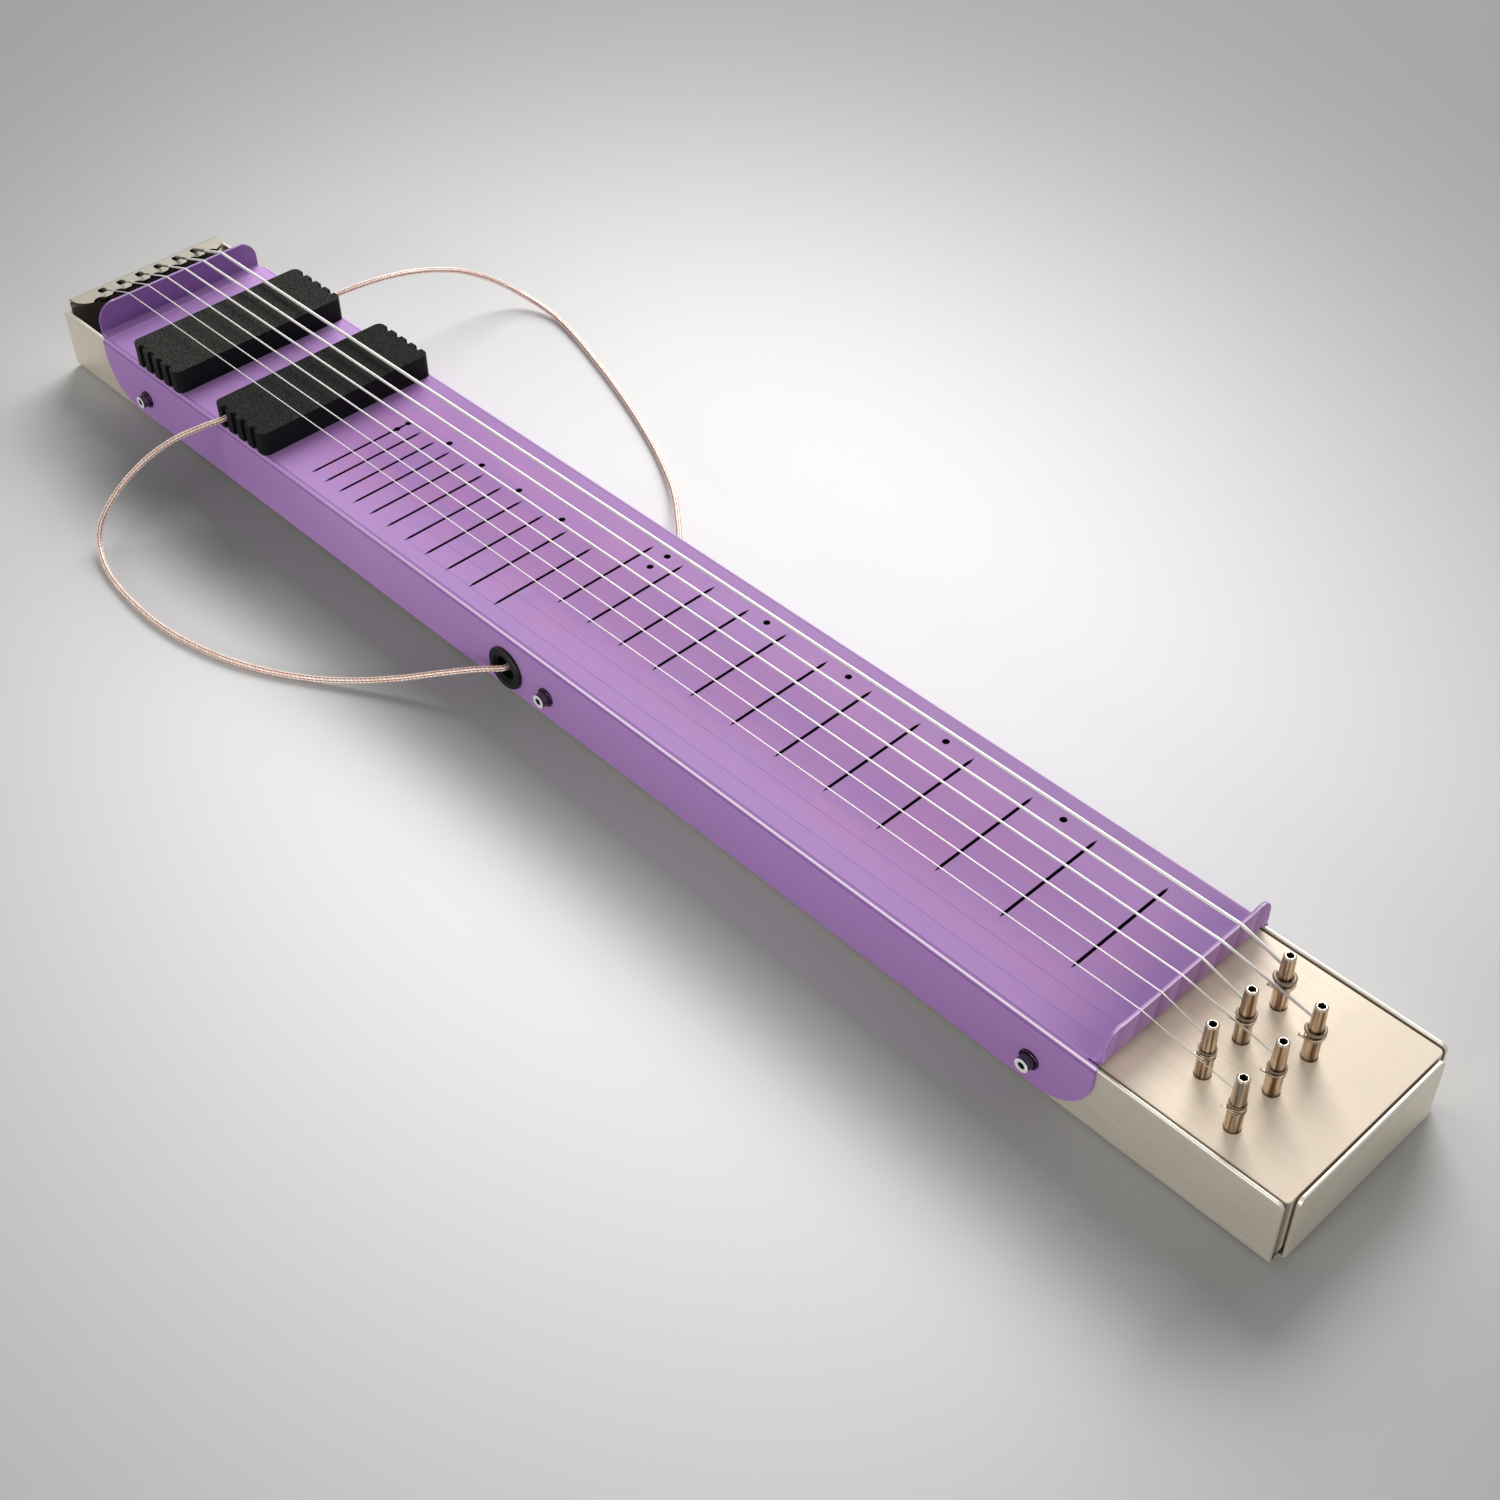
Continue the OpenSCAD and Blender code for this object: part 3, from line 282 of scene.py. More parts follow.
def lacquer_tone(f, x, y):
    """Lilac at the tail and violet at the head, with painted light at the tail and painted shade from the
    strings to the far edge.
    """
    drift = f.noise(f.stretched((3, 9, 9)), 1.0, 2.0)
    # painted light: the plate is painted lighter towards the tail
    lilac = f.mix(x.fade(-0.33, 0.05), srgb(207, 165, 225), srgb(165, 124, 183))
    violet = f.mix(x.fade(0.05, 0.28), srgb(162, 122, 182), srgb(158, 117, 175))
    colour = f.mix(drift.fade(0.35, 0.7) * x.fade(0.24, 0.0), violet, lilac)
    # painted shade: the plate is painted darker from the strings to the far edge
    under = y.fade(-0.030, -0.008) * x.fade(-0.19, -0.14) * (x.fade(0.26, 0.16) * 0.5 + 0.5)
    return f.mix(under, colour, srgb(235, 222, 235), kind="MULTIPLY")


def field_tint(f, x, y, z):
    """A slight tint for each field between neighbouring strings and slots, each its own."""
    along = ((NUT_X - x) / SCALE).least(0.97).most(0.0)
    field = f.node("ShaderNodeMath", {"operation": "LOGARITHM"}, [1 - along, 2.0]) * -SEMITONES
    lane = (y / FIELD_WIDTH).floor()
    tint = f.chance(f.vector(field.floor(), lane, 3.0))
    on_plate = z.fade(COVER_TOP - 0.0004, COVER_TOP - 0.0001)
    on_plate = on_plate * x.fade(-0.172, -0.168) * x.fade(0.256, 0.245)
    on_plate = on_plate * y.fade(-0.034, -0.03) * y.fade(0.036, 0.032)
    return tint * on_plate


def scored_lines(x, y, z):
    """Two fine lines scored into the plate beside the strings."""
    scored = None
    for start_y, end_y in SCORE_SIDES:
        slope = (end_y - start_y) / (SCORE_END_X - SCORE_START_X)
        line = (y - (x - SCORE_START_X) * slope - start_y).size().fade(0.00022, 0.00006)
        scored = line if scored is None else scored.most(line)
    scored = scored * z.fade(COVER_TOP - 0.0003, COVER_TOP - 0.0001)
    return scored * x.fade(-0.100, -0.080) * x.fade(0.262, 0.258)


def bend_tones(f, x, y, z, colour):
    """Painted shade beside the long folds and in the corners before the nut and bridge, and painted
    highlights on the edges.
    """
    off_fold = (y.size() - z - FOLD_LINE).size()
    # painted shade: a deep line beside each long fold
    valley = (off_fold - FOLD_SHOULDER).size().fade(0.0006, 0.0002) * y.size().fade(0.0412, 0.0417)
    colour = f.mix(valley * z.fade(0.0285, 0.0292) * 0.6, colour, DEEP_PURPLE)
    # painted shade: towards the head and the far edge, the lacquer is painted greyer
    far = y.fade(0.008, 0.040) * x.fade(0.0, 0.22)
    colour = f.mix(far * 0.75, colour, srgb(140, 100, 157))
    # painted shade: the plate is dusky in the hollow before the nut and up the bridge's face
    hollow = x.fade(0.232, 0.264) * z.fade(0.0345, 0.0322) * y.size().fade(0.0425, 0.040)
    hollow = (hollow * 0.54).most(x.fade(-0.2996, -0.3010) * z.fade(0.0310, 0.0322) * 0.56)
    colour = f.mix(hollow, colour, DEEP_PURPLE)
    # painted highlight: a pale line along the bridge's foot
    foot = (x - BRIDGE_FOOT_X).size().fade(0.0005, 0.0001)
    foot = foot * z.fade(0.0319, 0.0315) * z.fade(0.0308, 0.0311)
    colour = f.mix(foot * 0.34, colour, srgb(236, 208, 248))
    # painted highlights: the upper edges of the nut and bridge are painted bright, the folds a little
    crest = z.fade(0.0442, 0.0449) * (x.fade(0.1, -0.1) * 0.74 + x.fade(0.2661, 0.2665) * 0.34 + 0.1)
    fold = off_fold.fade(0.0008, 0.0002) * y.size().fade(0.0420, 0.0424)
    fold = fold * (x.fade(-0.20, 0.05) * 0.85 + 0.15) * (1 - y.fade(0.0, 0.01) * 0.65)
    return f.mix(crest.most(fold), colour, srgb(252, 238, 255))


def nut_creases(f, x, y, z, colour):
    """The nut's outer face, with a crease under each string drawn in painted light and shade."""
    face = x.fade(0.2660, 0.2666) * z.fade(0.0318, 0.0332)
    facet = (y / CREASE_WIDTH + 0.5 - (z - NUT_STRING_TOP) * CREASE_SLANT).part()
    # painted light across each crease's facet
    colour = f.mix(face * facet * 0.34, colour, srgb(212, 178, 228))
    # painted shade: a dark line at each crease
    return f.mix(face * facet.fade(0.93, 0.98) * facet.fade(1.0, 0.985) * 0.4, colour, DEEP_PURPLE)


def purple_lacquer():
    """Satin purple lacquer over sheet metal, with faint scored lines and tinted fields between slots."""
    f = Finish("purple_lacquer", Specular_IOR_Level=0.16)
    x, y, z = f.axes()
    colour = lacquer_tone(f, x, y)
    colour = f.mix(field_tint(f, x, y, z) * 0.22, colour, srgb(186, 112, 160))
    scored = scored_lines(x, y, z)
    colour = f.mix(scored * 0.5, colour, DEEP_PURPLE)
    colour = bend_tones(f, x, y, z, colour)
    colour = nut_creases(f, x, y, z, colour)
    # painted shade: the slots and holes are painted dark inside
    well = z.fade(COVER_TOP - 0.00006, COVER_TOP - 0.0002) * y.size().fade(0.0408, 0.0404)
    well = well * x.fade(-0.3005, -0.2995) * x.fade(0.2615, 0.2605)
    colour = f.mix(well, colour, srgb(22, 12, 26))
    grain = f.noise(f.stretched((1500, 1500, 1500)), 1.0, 2.0, 0.6)
    ripple = f.noise(f.stretched((18, 40, 40)), 1.0, 1.0)
    normal = f.bump(ripple, 0.0003, 0.12, f.bump(grain - scored * 0.8, 0.00006, 0.16))
    rough = f.noise(f.stretched((60, 60, 60)), 1.0, 3.0) * 0.1 + 0.42
    return f.wear(Base_Color=colour, Normal=normal, Roughness=rough)


def brushed_tray():
    """Warm brushed nickel plate: the grain runs along each wall."""
    f = Finish("brushed_tray", Metallic=0.62, Specular_IOR_Level=0.3)
    x, y, z = f.axes()
    grain = f.noise(f.stretched((45, 900, 1400)), 1.0, 4.0, 0.65)
    across = f.noise(f.stretched((900, 45, 1400)), 1.0, 4.0, 0.65)
    ends = x.size().fade(HEAD_X - 0.0045, HEAD_X - 0.0025)
    lines = grain * (1 - ends) + across * ends
    cloud = f.noise(f.stretched((14, 30, 30)), 1.0, 3.0)
    colour = f.mix(lines.fade(0.2, 0.8), srgb(214, 206, 191), srgb(230, 222, 207))
    colour = f.mix(cloud.fade(0.35, 0.75) * 0.35, colour, srgb(206, 195, 174))
    # painted shade: the inside is painted dark, and left dull
    inner = y.size().fade(0.0413, 0.0409) * x.size().fade(0.3362, 0.3358)
    inner = inner * z.fade(0.0328, 0.0322) * z.fade(0.0008, 0.0012)
    colour = f.mix(inner * 0.72, colour, srgb(52, 46, 40))
    # painted shade: the string anchor is painted darker on top, and dark on its cut edges
    by_anchor = x.fade(-0.3225, -0.3245)
    flap = z.fade(0.0332, 0.0340) * by_anchor
    colour = f.mix(flap * 0.72, colour, srgb(136, 131, 119))
    cut = z.fade(0.03445, 0.0343) * z.fade(0.0322, 0.0328) * x.fade(-0.3352, -0.3345)
    colour = f.mix(cut * by_anchor * 0.92, colour, srgb(26, 21, 17))
    # painted highlight: brighter upper edges
    edge = z.fade(0.0291, 0.0297) * z.fade(0.0312, 0.0305)
    colour = f.mix(edge * 0.5, colour, srgb(238, 234, 224))
    return f.wear(
        Base_Color=colour,
        Roughness=lines * 0.14 + 0.36 + inner * 0.2,
        Normal=f.bump(lines, 0.00003, 0.25),
    )


def maple():
    """Pale maple, sanded along the grain, with fine scratches and small flecks."""
    f = Finish("maple", Roughness=0.55, Specular_IOR_Level=0.35)
    slant = f.stretched((12, 330, 330), (0, 0, math.radians(3)))
    wander = f.noise(slant, 1.0, 5.0, 0.62, 0.25)
    fine = f.noise(f.stretched((150, 1700, 1500), (0, 0, math.radians(2.5))), 1.0, 3.0, 0.7)
    broad = f.noise(f.stretched((5, 26, 26), (0, 0, math.radians(6))), 1.0, 2.0)
    x, y, z = f.axes()
    # painted shade: the block is painted darker towards its head end
    pale = f.mix(x.fade(0.285, 0.33), srgb(252, 237, 214), srgb(220, 205, 185))
    colour = f.mix(wander.fade(0.3, 0.72) * 0.4, pale, srgb(228, 212, 192))
    colour = f.mix(fine.fade(0.5, 0.72) * 0.3, colour, srgb(212, 186, 156))
    colour = f.mix(broad.fade(0.45, 0.8) * 0.25, colour, srgb(234, 214, 196))
    fleck = f.cells(f.stretched((160, 520, 520)), 1.0).fade(0.13, 0.05)
    fleck = fleck * f.noise(f.place(), 60.0).fade(0.5, 0.62)
    colour = f.mix(fleck * 0.3, colour, srgb(176, 144, 112))
    scratch = f.noise(f.stretched((22, 900, 900), (0, 0, math.radians(-28))), 1.0, 2.0, 0.5)
    scratch = scratch.fade(0.7, 0.76)
    colour = f.mix(scratch * 0.16, colour, srgb(196, 178, 158))
    # painted shade: the near corner at the head is painted dark below the top
    corner = x.fade(0.3325, 0.3340) * y.fade(-0.0375, -0.0390) * z.fade(0.0290, 0.0284)
    colour = f.mix(corner * 0.75, colour, srgb(84, 80, 74))
    normal = f.bump(fine * 0.6 + wander * 0.4 - scratch * 0.5, 0.00008, 0.2)
    return f.wear(Base_Color=colour, Normal=normal, Roughness=fine * 0.15 + 0.47)


def pebbled_plastic():
    """Black moulded plastic: pebbled on top, polished on the sides."""
    f = Finish("pebbled_plastic", Specular_IOR_Level=0.05)
    x, _, z = f.axes()
    top = z.fade(0.04165, 0.0419)
    pebble = f.noise(f.place(), 1400.0, 2.0, 0.6)
    coarse = f.noise(f.place(), 420.0, 2.0, 0.5)
    height = (pebble * 0.85 + coarse * 0.15) * top
    grain = f.mix(pebble.fade(0.38, 0.66), srgb(28, 29, 27), srgb(62, 63, 59))
    # painted shade: the pickup top is painted darker past x = -0.21 m, towards the head
    grain = f.mix(x.fade(-0.235, -0.21) * 0.36, grain, srgb(18, 18, 17))
    colour = f.mix(top, srgb(26, 26, 27), grain)
    rough = top * 0.58 + 0.3 + coarse * 0.06
    return f.wear(Base_Color=colour, Roughness=rough, Normal=f.bump(height, 0.00012, 0.7))


def plain_plastic(name, light, dark, rough):
    """Moulded plastic with a slight cloud and a fine grit."""
    f = Finish(name, Specular_IOR_Level=0.5)
    cloud = f.noise(f.place(), 90.0, 3.0)
    grit = f.noise(f.place(), 1800.0, 2.0)
    return f.wear(
        Base_Color=f.mix(cloud.fade(0.3, 0.7), dark, light),
        Roughness=grit * 0.12 + rough,
        Normal=f.bump(grit, 0.00004, 0.3),
    )


COIL_PITCH, WRAP_PITCH = 0.00022, 0.00032


def wound_coil():
    """Lacquered copper wire, laid in level turns."""
    f = Finish("wound_coil", Metallic=0.85, Roughness=0.3)
    z = f.axes()[2]
    turns = (z * (2 * math.pi / COIL_PITCH)).sin()
    tone = f.noise(f.stretched((30, 30, 3500)), 1.0, 2.0)
    colour = f.mix(tone.fade(0.3, 0.7), srgb(150, 78, 44), srgb(196, 118, 74))
    return f.wear(Base_Color=colour, Normal=f.bump(turns, 0.00006, 0.6))


STITCH_SLANT = 0.9


def braided_copper():
    """Rose copper braid: the map's U counts columns of stitches round the lead, V stitches along it."""
    f = Finish("braided_copper", Metallic=0.3, Specular_IOR_Level=0.5)
    around, along, _ = f.uv()
    column, across = around.floor(), around.part()
    lean = (column / 2).part() * 4 - 1
    stitches = along + (across - 0.5) * lean * STITCH_SLANT
    stitch = stitches.part()
    shade = f.chance(f.vector(column, stitches.floor(), 5.0))
    gap = (across - 0.5).size().fade(0.30, 0.44)
    seam = (stitch - 0.5).size().fade(0.26, 0.46)
    colour = f.mix(shade, srgb(236, 204, 186), srgb(252, 236, 226))
    # painted shade: the seams between stitches and the gaps between columns are painted dark
    colour = f.mix(seam * 0.6, colour, srgb(168, 112, 90))
    colour = f.mix(gap * 0.92, colour, srgb(96, 54, 42))
    return f.wear(
        Base_Color=colour,
        Roughness=gap * 0.3 + 0.34,
        Normal=f.bump(1 - seam, 0.00004, 0.5),
    )


PLAIN_STRINGS = 3


def drawn_wire(n, free):
    """Bright string wire, browner past its free length, with painted shade by the anchor and over the pin
    block.
    The thick strings are wrapped: their fine turns run along V, with painted shade between them."""
    f = Finish(f"drawn_wire_{n}", Metallic=0.55)
    around, along, _ = f.uv()
    streak = f.noise(f.vector(around * 14, along * 30, 0.0), 1.0, 2.0)
    colour = f.mix(streak.fade(0.3, 0.7), srgb(208, 206, 202), srgb(232, 230, 227))
    colour = f.mix(along.fade(free - 0.002, free + 0.001), colour, srgb(150, 130, 100))
    # painted shade: darker by the anchor
    colour = f.mix(along.fade(0.0145, 0.0115), colour, srgb(96, 92, 84))
    # painted shade: darker over the pin block
    colour = f.mix(f.axes()[0].fade(0.266, 0.272) * 0.5, colour, srgb(112, 104, 96))
    if n <= PLAIN_STRINGS:
        return f.wear(Base_Color=colour, Roughness=streak * 0.1 + 0.4)
    turns = (along * (2 * math.pi / WRAP_PITCH) + around * 2 * math.pi).sin()
    # painted shade between the wrap's turns
    colour = f.mix(turns.fade(-0.4, -1.0) * 0.3, colour, srgb(190, 186, 178))
    return f.wear(Base_Color=colour, Roughness=streak * 0.1 + 0.44, Normal=f.bump(turns, 0.000006, 0.3))


KEY_HOLE_R, KEY_HOLE_EDGE = 0.00140, 0.00148
COLLAR_LINE_Z = SHOULDER_Z + 0.00095


def aged_nickel(n):
    """Warm nickel of one tuning pin, with streaks down its length, a painted highlight on its top and
    painted shade in its socket.
    """
    f = Finish(f"aged_nickel_{n}", Metallic=1.0)
    x, y, z = f.axes()
    pin_x, pin_y = PIN_XY[n]
    angle = f.node("ShaderNodeMath", {"operation": "ARCTAN2"}, [y - pin_y, x - pin_x])
    streaks = f.noise(f.vector(angle * 2.2, z * 18, float(n)), 1.0, 3.0, 0.6)
    fine = f.noise(f.vector(angle * 14, z * 50, float(n)), 1.0, 2.0, 0.6)
    colour = f.mix(streaks.fade(0.36, 0.62), srgb(116, 91, 70), srgb(216, 198, 176))
    colour = f.mix(fine.fade(0.55, 0.8) * 0.4, colour, srgb(112, 90, 64))
    # painted highlight on the top
    rim = z.fade(PIN_TOP - 0.0007, PIN_TOP - 0.0004)
    colour = f.mix(rim * 0.75, colour, srgb(184, 176, 164))
    # painted shade: the key socket is painted nearly black inside
    reach = ((x - pin_x) * (x - pin_x) + (y - pin_y) * (y - pin_y)).root()
    socket = reach.fade(KEY_HOLE_EDGE, KEY_HOLE_R) * z.fade(PIN_TOP - 0.0004, PIN_TOP - 0.0014)
    colour = f.mix(socket, colour, srgb(18, 15, 12))
    # dark rings where the collar meets the neck and at the block
    joint = (z - COLLAR_LINE_Z).size().fade(0.0005, 0.0001)
    colour = f.mix(joint * 0.6, colour, srgb(70, 54, 38))
    foot = z.fade(BLOCK_TOP + 0.0016, BLOCK_TOP)
    colour = f.mix(foot * 0.7, colour, srgb(74, 56, 38))
    return f.wear(
        Base_Color=colour,
        Roughness=fine * 0.14 + 0.2 + socket * 0.4,
        Normal=f.bump(fine, 0.00004, 0.4),
    )


def turned_metal(name, bright, dark, rough, metal=1.0):
    """Turned metal with fine tool marks and small blemishes."""
    f = Finish(name, Metallic=metal)
    marks = f.noise(f.place(), 900.0, 3.0, 0.6)
    cloud = f.noise(f.place(), 160.0, 2.0)
    return f.wear(
        Base_Color=f.mix(cloud.fade(0.3, 0.7), dark, bright),
        Roughness=marks * 0.12 + rough,
        Normal=f.bump(marks, 0.00002, 0.4),
    )


def screw_metal():
    """A cap screw, told by the zone attribute: bright face and dark side as painted reflections, black
    socket as painted shade.
    """
    f = Finish("screw_metal", Metallic=0.3, Specular_IOR_Level=0.4)
    zone = f.node("ShaderNodeAttribute", {"attribute_name": "zone"}, out="Fac")
    marks = f.noise(f.place(), 1400.0, 2.0)
    side, socket = zone.fade(0.2, 0.4) * zone.fade(0.8, 0.6), zone.fade(0.8, 0.95)
    # painted highlight: the face is painted nearly white
    colour = f.mix(marks.fade(0.3, 0.7), srgb(240, 239, 233), srgb(255, 254, 250))
    # painted reflection: the side is painted dark purple
    colour = f.mix(side, colour, srgb(74, 58, 80))
    # painted shade: the socket is painted nearly black
    colour = f.mix(socket, colour, srgb(36, 32, 26))
    return f.wear(Base_Color=colour, Roughness=marks * 0.1 + 0.16 + socket * 0.3)


def soft_rubber():
    """Black rubber with a faint bloom."""
    f = Finish("soft_rubber", Specular_IOR_Level=0.35)
    bloom = f.noise(f.place(), 240.0, 3.0)
    return f.wear(
        Base_Color=f.mix(bloom.fade(0.35, 0.75), srgb(9, 10, 9), srgb(22, 23, 21)),
        Roughness=bloom * 0.2 + 0.38,
        Normal=f.bump(bloom, 0.00006, 0.3),
    )


def ground_ferrite():
    """Grey magnet, ground along its length."""
    f = Finish("ground_ferrite", Metallic=0.2)
    grind = f.noise(f.stretched((80, 1600, 300)), 1.0, 3.0)
    return f.wear(
        Base_Color=f.mix(grind.fade(0.3, 0.7), srgb(58, 58, 62), srgb(92, 92, 96)),
        Roughness=grind * 0.2 + 0.4,
        Normal=f.bump(grind, 0.00003, 0.3),
    )


# Mesh making


def add_piece(name, vertices, faces, material, uvs=None, smooth=True):
    """A new object of the vertices and faces, with its map named wrap where it has one."""
    mesh = bpy.data.meshes.new(name)
    mesh.from_pydata([tuple(v) for v in vertices], [], faces)
    if uvs is not None:
        layer = mesh.uv_layers.new(name="wrap")
        layer.data.foreach_set("uv", np.asarray(uvs, np.float32).ravel())
    mesh.polygons.foreach_set("use_smooth", [smooth] * len(mesh.polygons))
    mesh.materials.append(material)
    return add_object(name, mesh)


def smooth_route(route, steps):
    """Points of one smooth curve through the route's points."""
    points = np.array(route, float)
    ends = np.vstack([2 * points[0] - points[1], points, 2 * points[-1] - points[-2]])
    made = []
    for i in range(1, len(ends) - 2):
        a, b, c, d = ends[i - 1:i + 3]
        square, cube = 2 * a - 5 * b + 4 * c - d, 3 * b - a - 3 * c + d
        for k in range(steps):
            t = k / steps
            made.append(0.5 * (2 * b + (c - a) * t + square * t**2 + cube * t**3))
    return np.array(made + [points[-1]])


def run_lengths(points):
    """Length of the line from its start to each point."""
    return np.concatenate([[0], np.cumsum(np.linalg.norm(np.diff(points, axis=0), axis=1))])


def even_points(points, step):
    """The same line with points a step apart."""
    lengths = run_lengths(points)
    marks = np.linspace(0, lengths[-1], max(2, round(lengths[-1] / step) + 1))
    return np.column_stack([np.interp(marks, lengths, points[:, k]) for k in range(3)])


def carried_frames(points):
    """Headings and two normals at each point, carried along without twist."""
    steps = np.diff(points, axis=0)
    steps /= np.linalg.norm(steps, axis=1)[:, None]
    headings = np.vstack([steps[0], steps[1:] + steps[:-1], steps[-1]])
    headings /= np.linalg.norm(headings, axis=1)[:, None]
    normal = np.cross(headings[0], (0, 0, 1) if abs(headings[0][2]) < 0.9 else (0, 1, 0))
    firsts = []
    for heading in headings:
        normal = normal - heading * (normal @ heading)
        normal /= np.linalg.norm(normal)
        firsts.append(normal)
    firsts = np.array(firsts)
    return headings, firsts, np.cross(headings, firsts)


def tube(name, points, radius, sides, material, around=1.0, along=1.0, relief=None):
    """A closed tube round the points. Its map runs from 0 to around, and along times its length.
    relief gives the share of the radius added at each (turn, length)."""
    points = np.asarray(points, float)
    _, first, second = carried_frames(points)
    lengths = run_lengths(points)
    rings = len(points)
    turn = np.arange(sides) / sides
    angles = 2 * math.pi * turn
    reach = np.full((rings, sides), radius)
    if relief is not None:
        reach = radius * (1 + relief(turn[None, :], lengths[:, None]))
    circle = first[:, None] * np.cos(angles)[None, :, None]
    circle = circle + second[:, None] * np.sin(angles)[None, :, None]
    vertices = (points[:, None] + circle * reach[:, :, None]).reshape(-1, 3)
    faces, uvs = [], []
    for i in range(rings - 1):
        low, high = lengths[i] * along, lengths[i + 1] * along
        for k in range(sides):
            n = (k + 1) % sides
            faces.append((i * sides + k, i * sides + n, (i + 1) * sides + n, (i + 1) * sides + k))
            u, v = k / sides * around, (k + 1) / sides * around
            uvs += [(u, low), (v, low), (v, high), (u, high)]
    faces.append(tuple(range(sides))[::-1])
    faces.append(tuple(range((rings - 1) * sides, rings * sides)))
    uvs += [(0, 0)] * (2 * sides)
    return add_piece(name, vertices, faces, material, uvs)


def turned(rings, sides, closed=False):
    """Vertices, faces and zones of a piece turned about Z: each ring is (radius, height, zone),
    and a radius that is negative is half the width across the flats of a hexagon."""
    vertices, zones, faces = [], [], []
    for radius, height, zone in rings:
        for k in range(sides):
            angle = 2 * math.pi * k / sides
            reach = radius
            if radius < 0:
                sector = (math.degrees(angle) + 30) % 60 - 30
                reach = -radius / math.cos(math.radians(sector))
            vertices.append((reach * math.cos(angle), reach * math.sin(angle), height))
            zones.append(zone)
    count = len(rings)
    for i in range(count if closed else count - 1):
        j = (i + 1) % count
        for k in range(sides):
            n = (k + 1) % sides
            faces.append((i * sides + k, i * sides + n, j * sides + n, j * sides + k))
    if not closed:
        faces.append(tuple(range(sides))[::-1])
        faces.append(tuple(range((count - 1) * sides, count * sides)))
    return vertices, faces, zones


JOIN_DISTANCE = 1e-6
FLAT_ANGLE, SHARP_ANGLE = 0.6, 35


def geometry_nodes(name, **inputs):
    """A new tree that takes and gives a geometry, and a wire from each of its inputs."""
    made = Nodes(bpy.data.node_groups.new(name, "GeometryNodeTree"))
    sockets = made.tree.interface
    sockets.new_socket("Geometry", in_out="OUTPUT", socket_type="NodeSocketGeometry")
    for label, kind in {"Geometry": "Geometry", **inputs}.items():
        sockets.new_socket(label, in_out="INPUT", socket_type="NodeSocket" + kind)
    start = made.tree.nodes.new("NodeGroupInput")
    wires = {label: Wire(made, start.outputs[label]) for label in ("Geometry", *inputs)}
    return made, wires


def soften_tree():
    """Joins a solid's loose triangles and drops its stored normals, so that its edges can be rounded."""
    g, given = geometry_nodes("soften")
    values = {"Geometry": given["Geometry"], "Name": "custom_normal"}
    plain = g.node("GeometryNodeRemoveAttribute", values=values)
    joined = g.node("GeometryNodeMergeByDistance", values={"Geometry": plain, "Distance": JOIN_DISTANCE})
    smooth = g.node("GeometryNodeSetShadeSmooth", values={"Geometry": joined, "Shade Smooth": True})
    g.node("NodeGroupOutput", values={"Geometry": smooth})
    return g.tree


SOFTEN = soften_tree()


def round_edges(node, width, segments=2):
    """Rounds a solid's sharp edges with modifiers; its own mesh stays as it is."""
    piece = NODES[node]
    piece.modifiers.new("soften", "NODES").node_group = SOFTEN
    flat = piece.modifiers.new("flat", "DECIMATE")
    flat.decimate_type, flat.angle_limit = "DISSOLVE", math.radians(FLAT_ANGLE)
    bevel = piece.modifiers.new("bevel", "BEVEL")
    bevel.width, bevel.segments = width, segments
    bevel.limit_method, bevel.angle_limit = "ANGLE", math.radians(SHARP_ANGLE)
    bevel.harden_normals = True
    bevel.use_clamp_overlap = True
    bevel.miter_outer = "MITER_ARC"


def dress(node, material):
    """Gives a solid its finish."""
    data = NODES[node].data
    data.materials.clear()
    data.materials.append(material)


def stand_for(piece, slot_name, *nodes, body=BODY):
    """Shows the piece in place of the solids, on the body that carries them."""
    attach(piece, body)
    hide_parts(*nodes)


# Leads, first of the pieces

LEAD_R = 0.0013
# Points that each lead goes through, in millimetres, from its pickup to its grommet
NEAR_ROUTE = [
    (-203.75, -40.4, 37), (-203.75, -45.4, 37), (-205.5, -54, 36.7), (-209.5, -66, 34), (-213.5, -79, 27.5),
    (-216, -92, 18), (-214, -103, 9), (-205.5, -110, 3.6), (-188.5, -115.5, 1.5), (-164, -118, 1.4),
    (-141, -117, 1.4), (-118, -112, 1.4), (-98, -104, 1.4), (-81, -94, 1.6), (-66, -83, 3), (-51.5, -71, 6),
    (-38, -60, 10.5), (-27, -51.5, 14), (-20.5, -46, 15), (-19.5, -43, 15), (-19.5, -40.2, 15),
]
FAR_ROUTE = [
    (-249.75, 40.4, 37), (-249.75, 46.4, 37), (-249, 57, 36.9), (-247.5, 70, 36.2), (-246.5, 84, 33.8),
    (-246, 99, 29), (-245.5, 114, 22), (-242, 128, 13), (-232, 137, 5.5), (-214, 139.5, 2), (-191, 135, 1.4),
    (-163, 126.5, 1.4), (-137, 117.5, 1.4), (-114, 108.5, 1.4), (-91, 98, 1.6), (-69, 85.5, 3.5),
    (-48, 69.5, 7.5), (-32, 56, 12), (-22, 48, 14.7), (-19.5, 43, 15), (-19.5, 40.2, 15),
]
ROUTE_STEPS, STITCH_POINTS, PATH_STRIDE = 12, 6, 8
BRAID_COLUMNS, COLUMN_SIDES = 6, 8
STITCH = 0.0017
BRAID_DEPTH, SEAM_DEPTH = 0.2, 0.07


def braid_relief(turn, length):
    """Share of the radius by which the columns of stitches stand up and the seams between them dip."""
    across = turn * BRAID_COLUMNS
    column = np.floor(across)
    offset = across - column - 0.5
    lean = np.where(column % 2 < 1, -1, 1)
    stitch = length / STITCH + offset * lean * STITCH_SLANT
    seam = np.abs(stitch - np.floor(stitch) - 0.5) * 2
    return -BRAID_DEPTH * np.abs(offset * 2) ** 2.5 - SEAM_DEPTH * seam**2


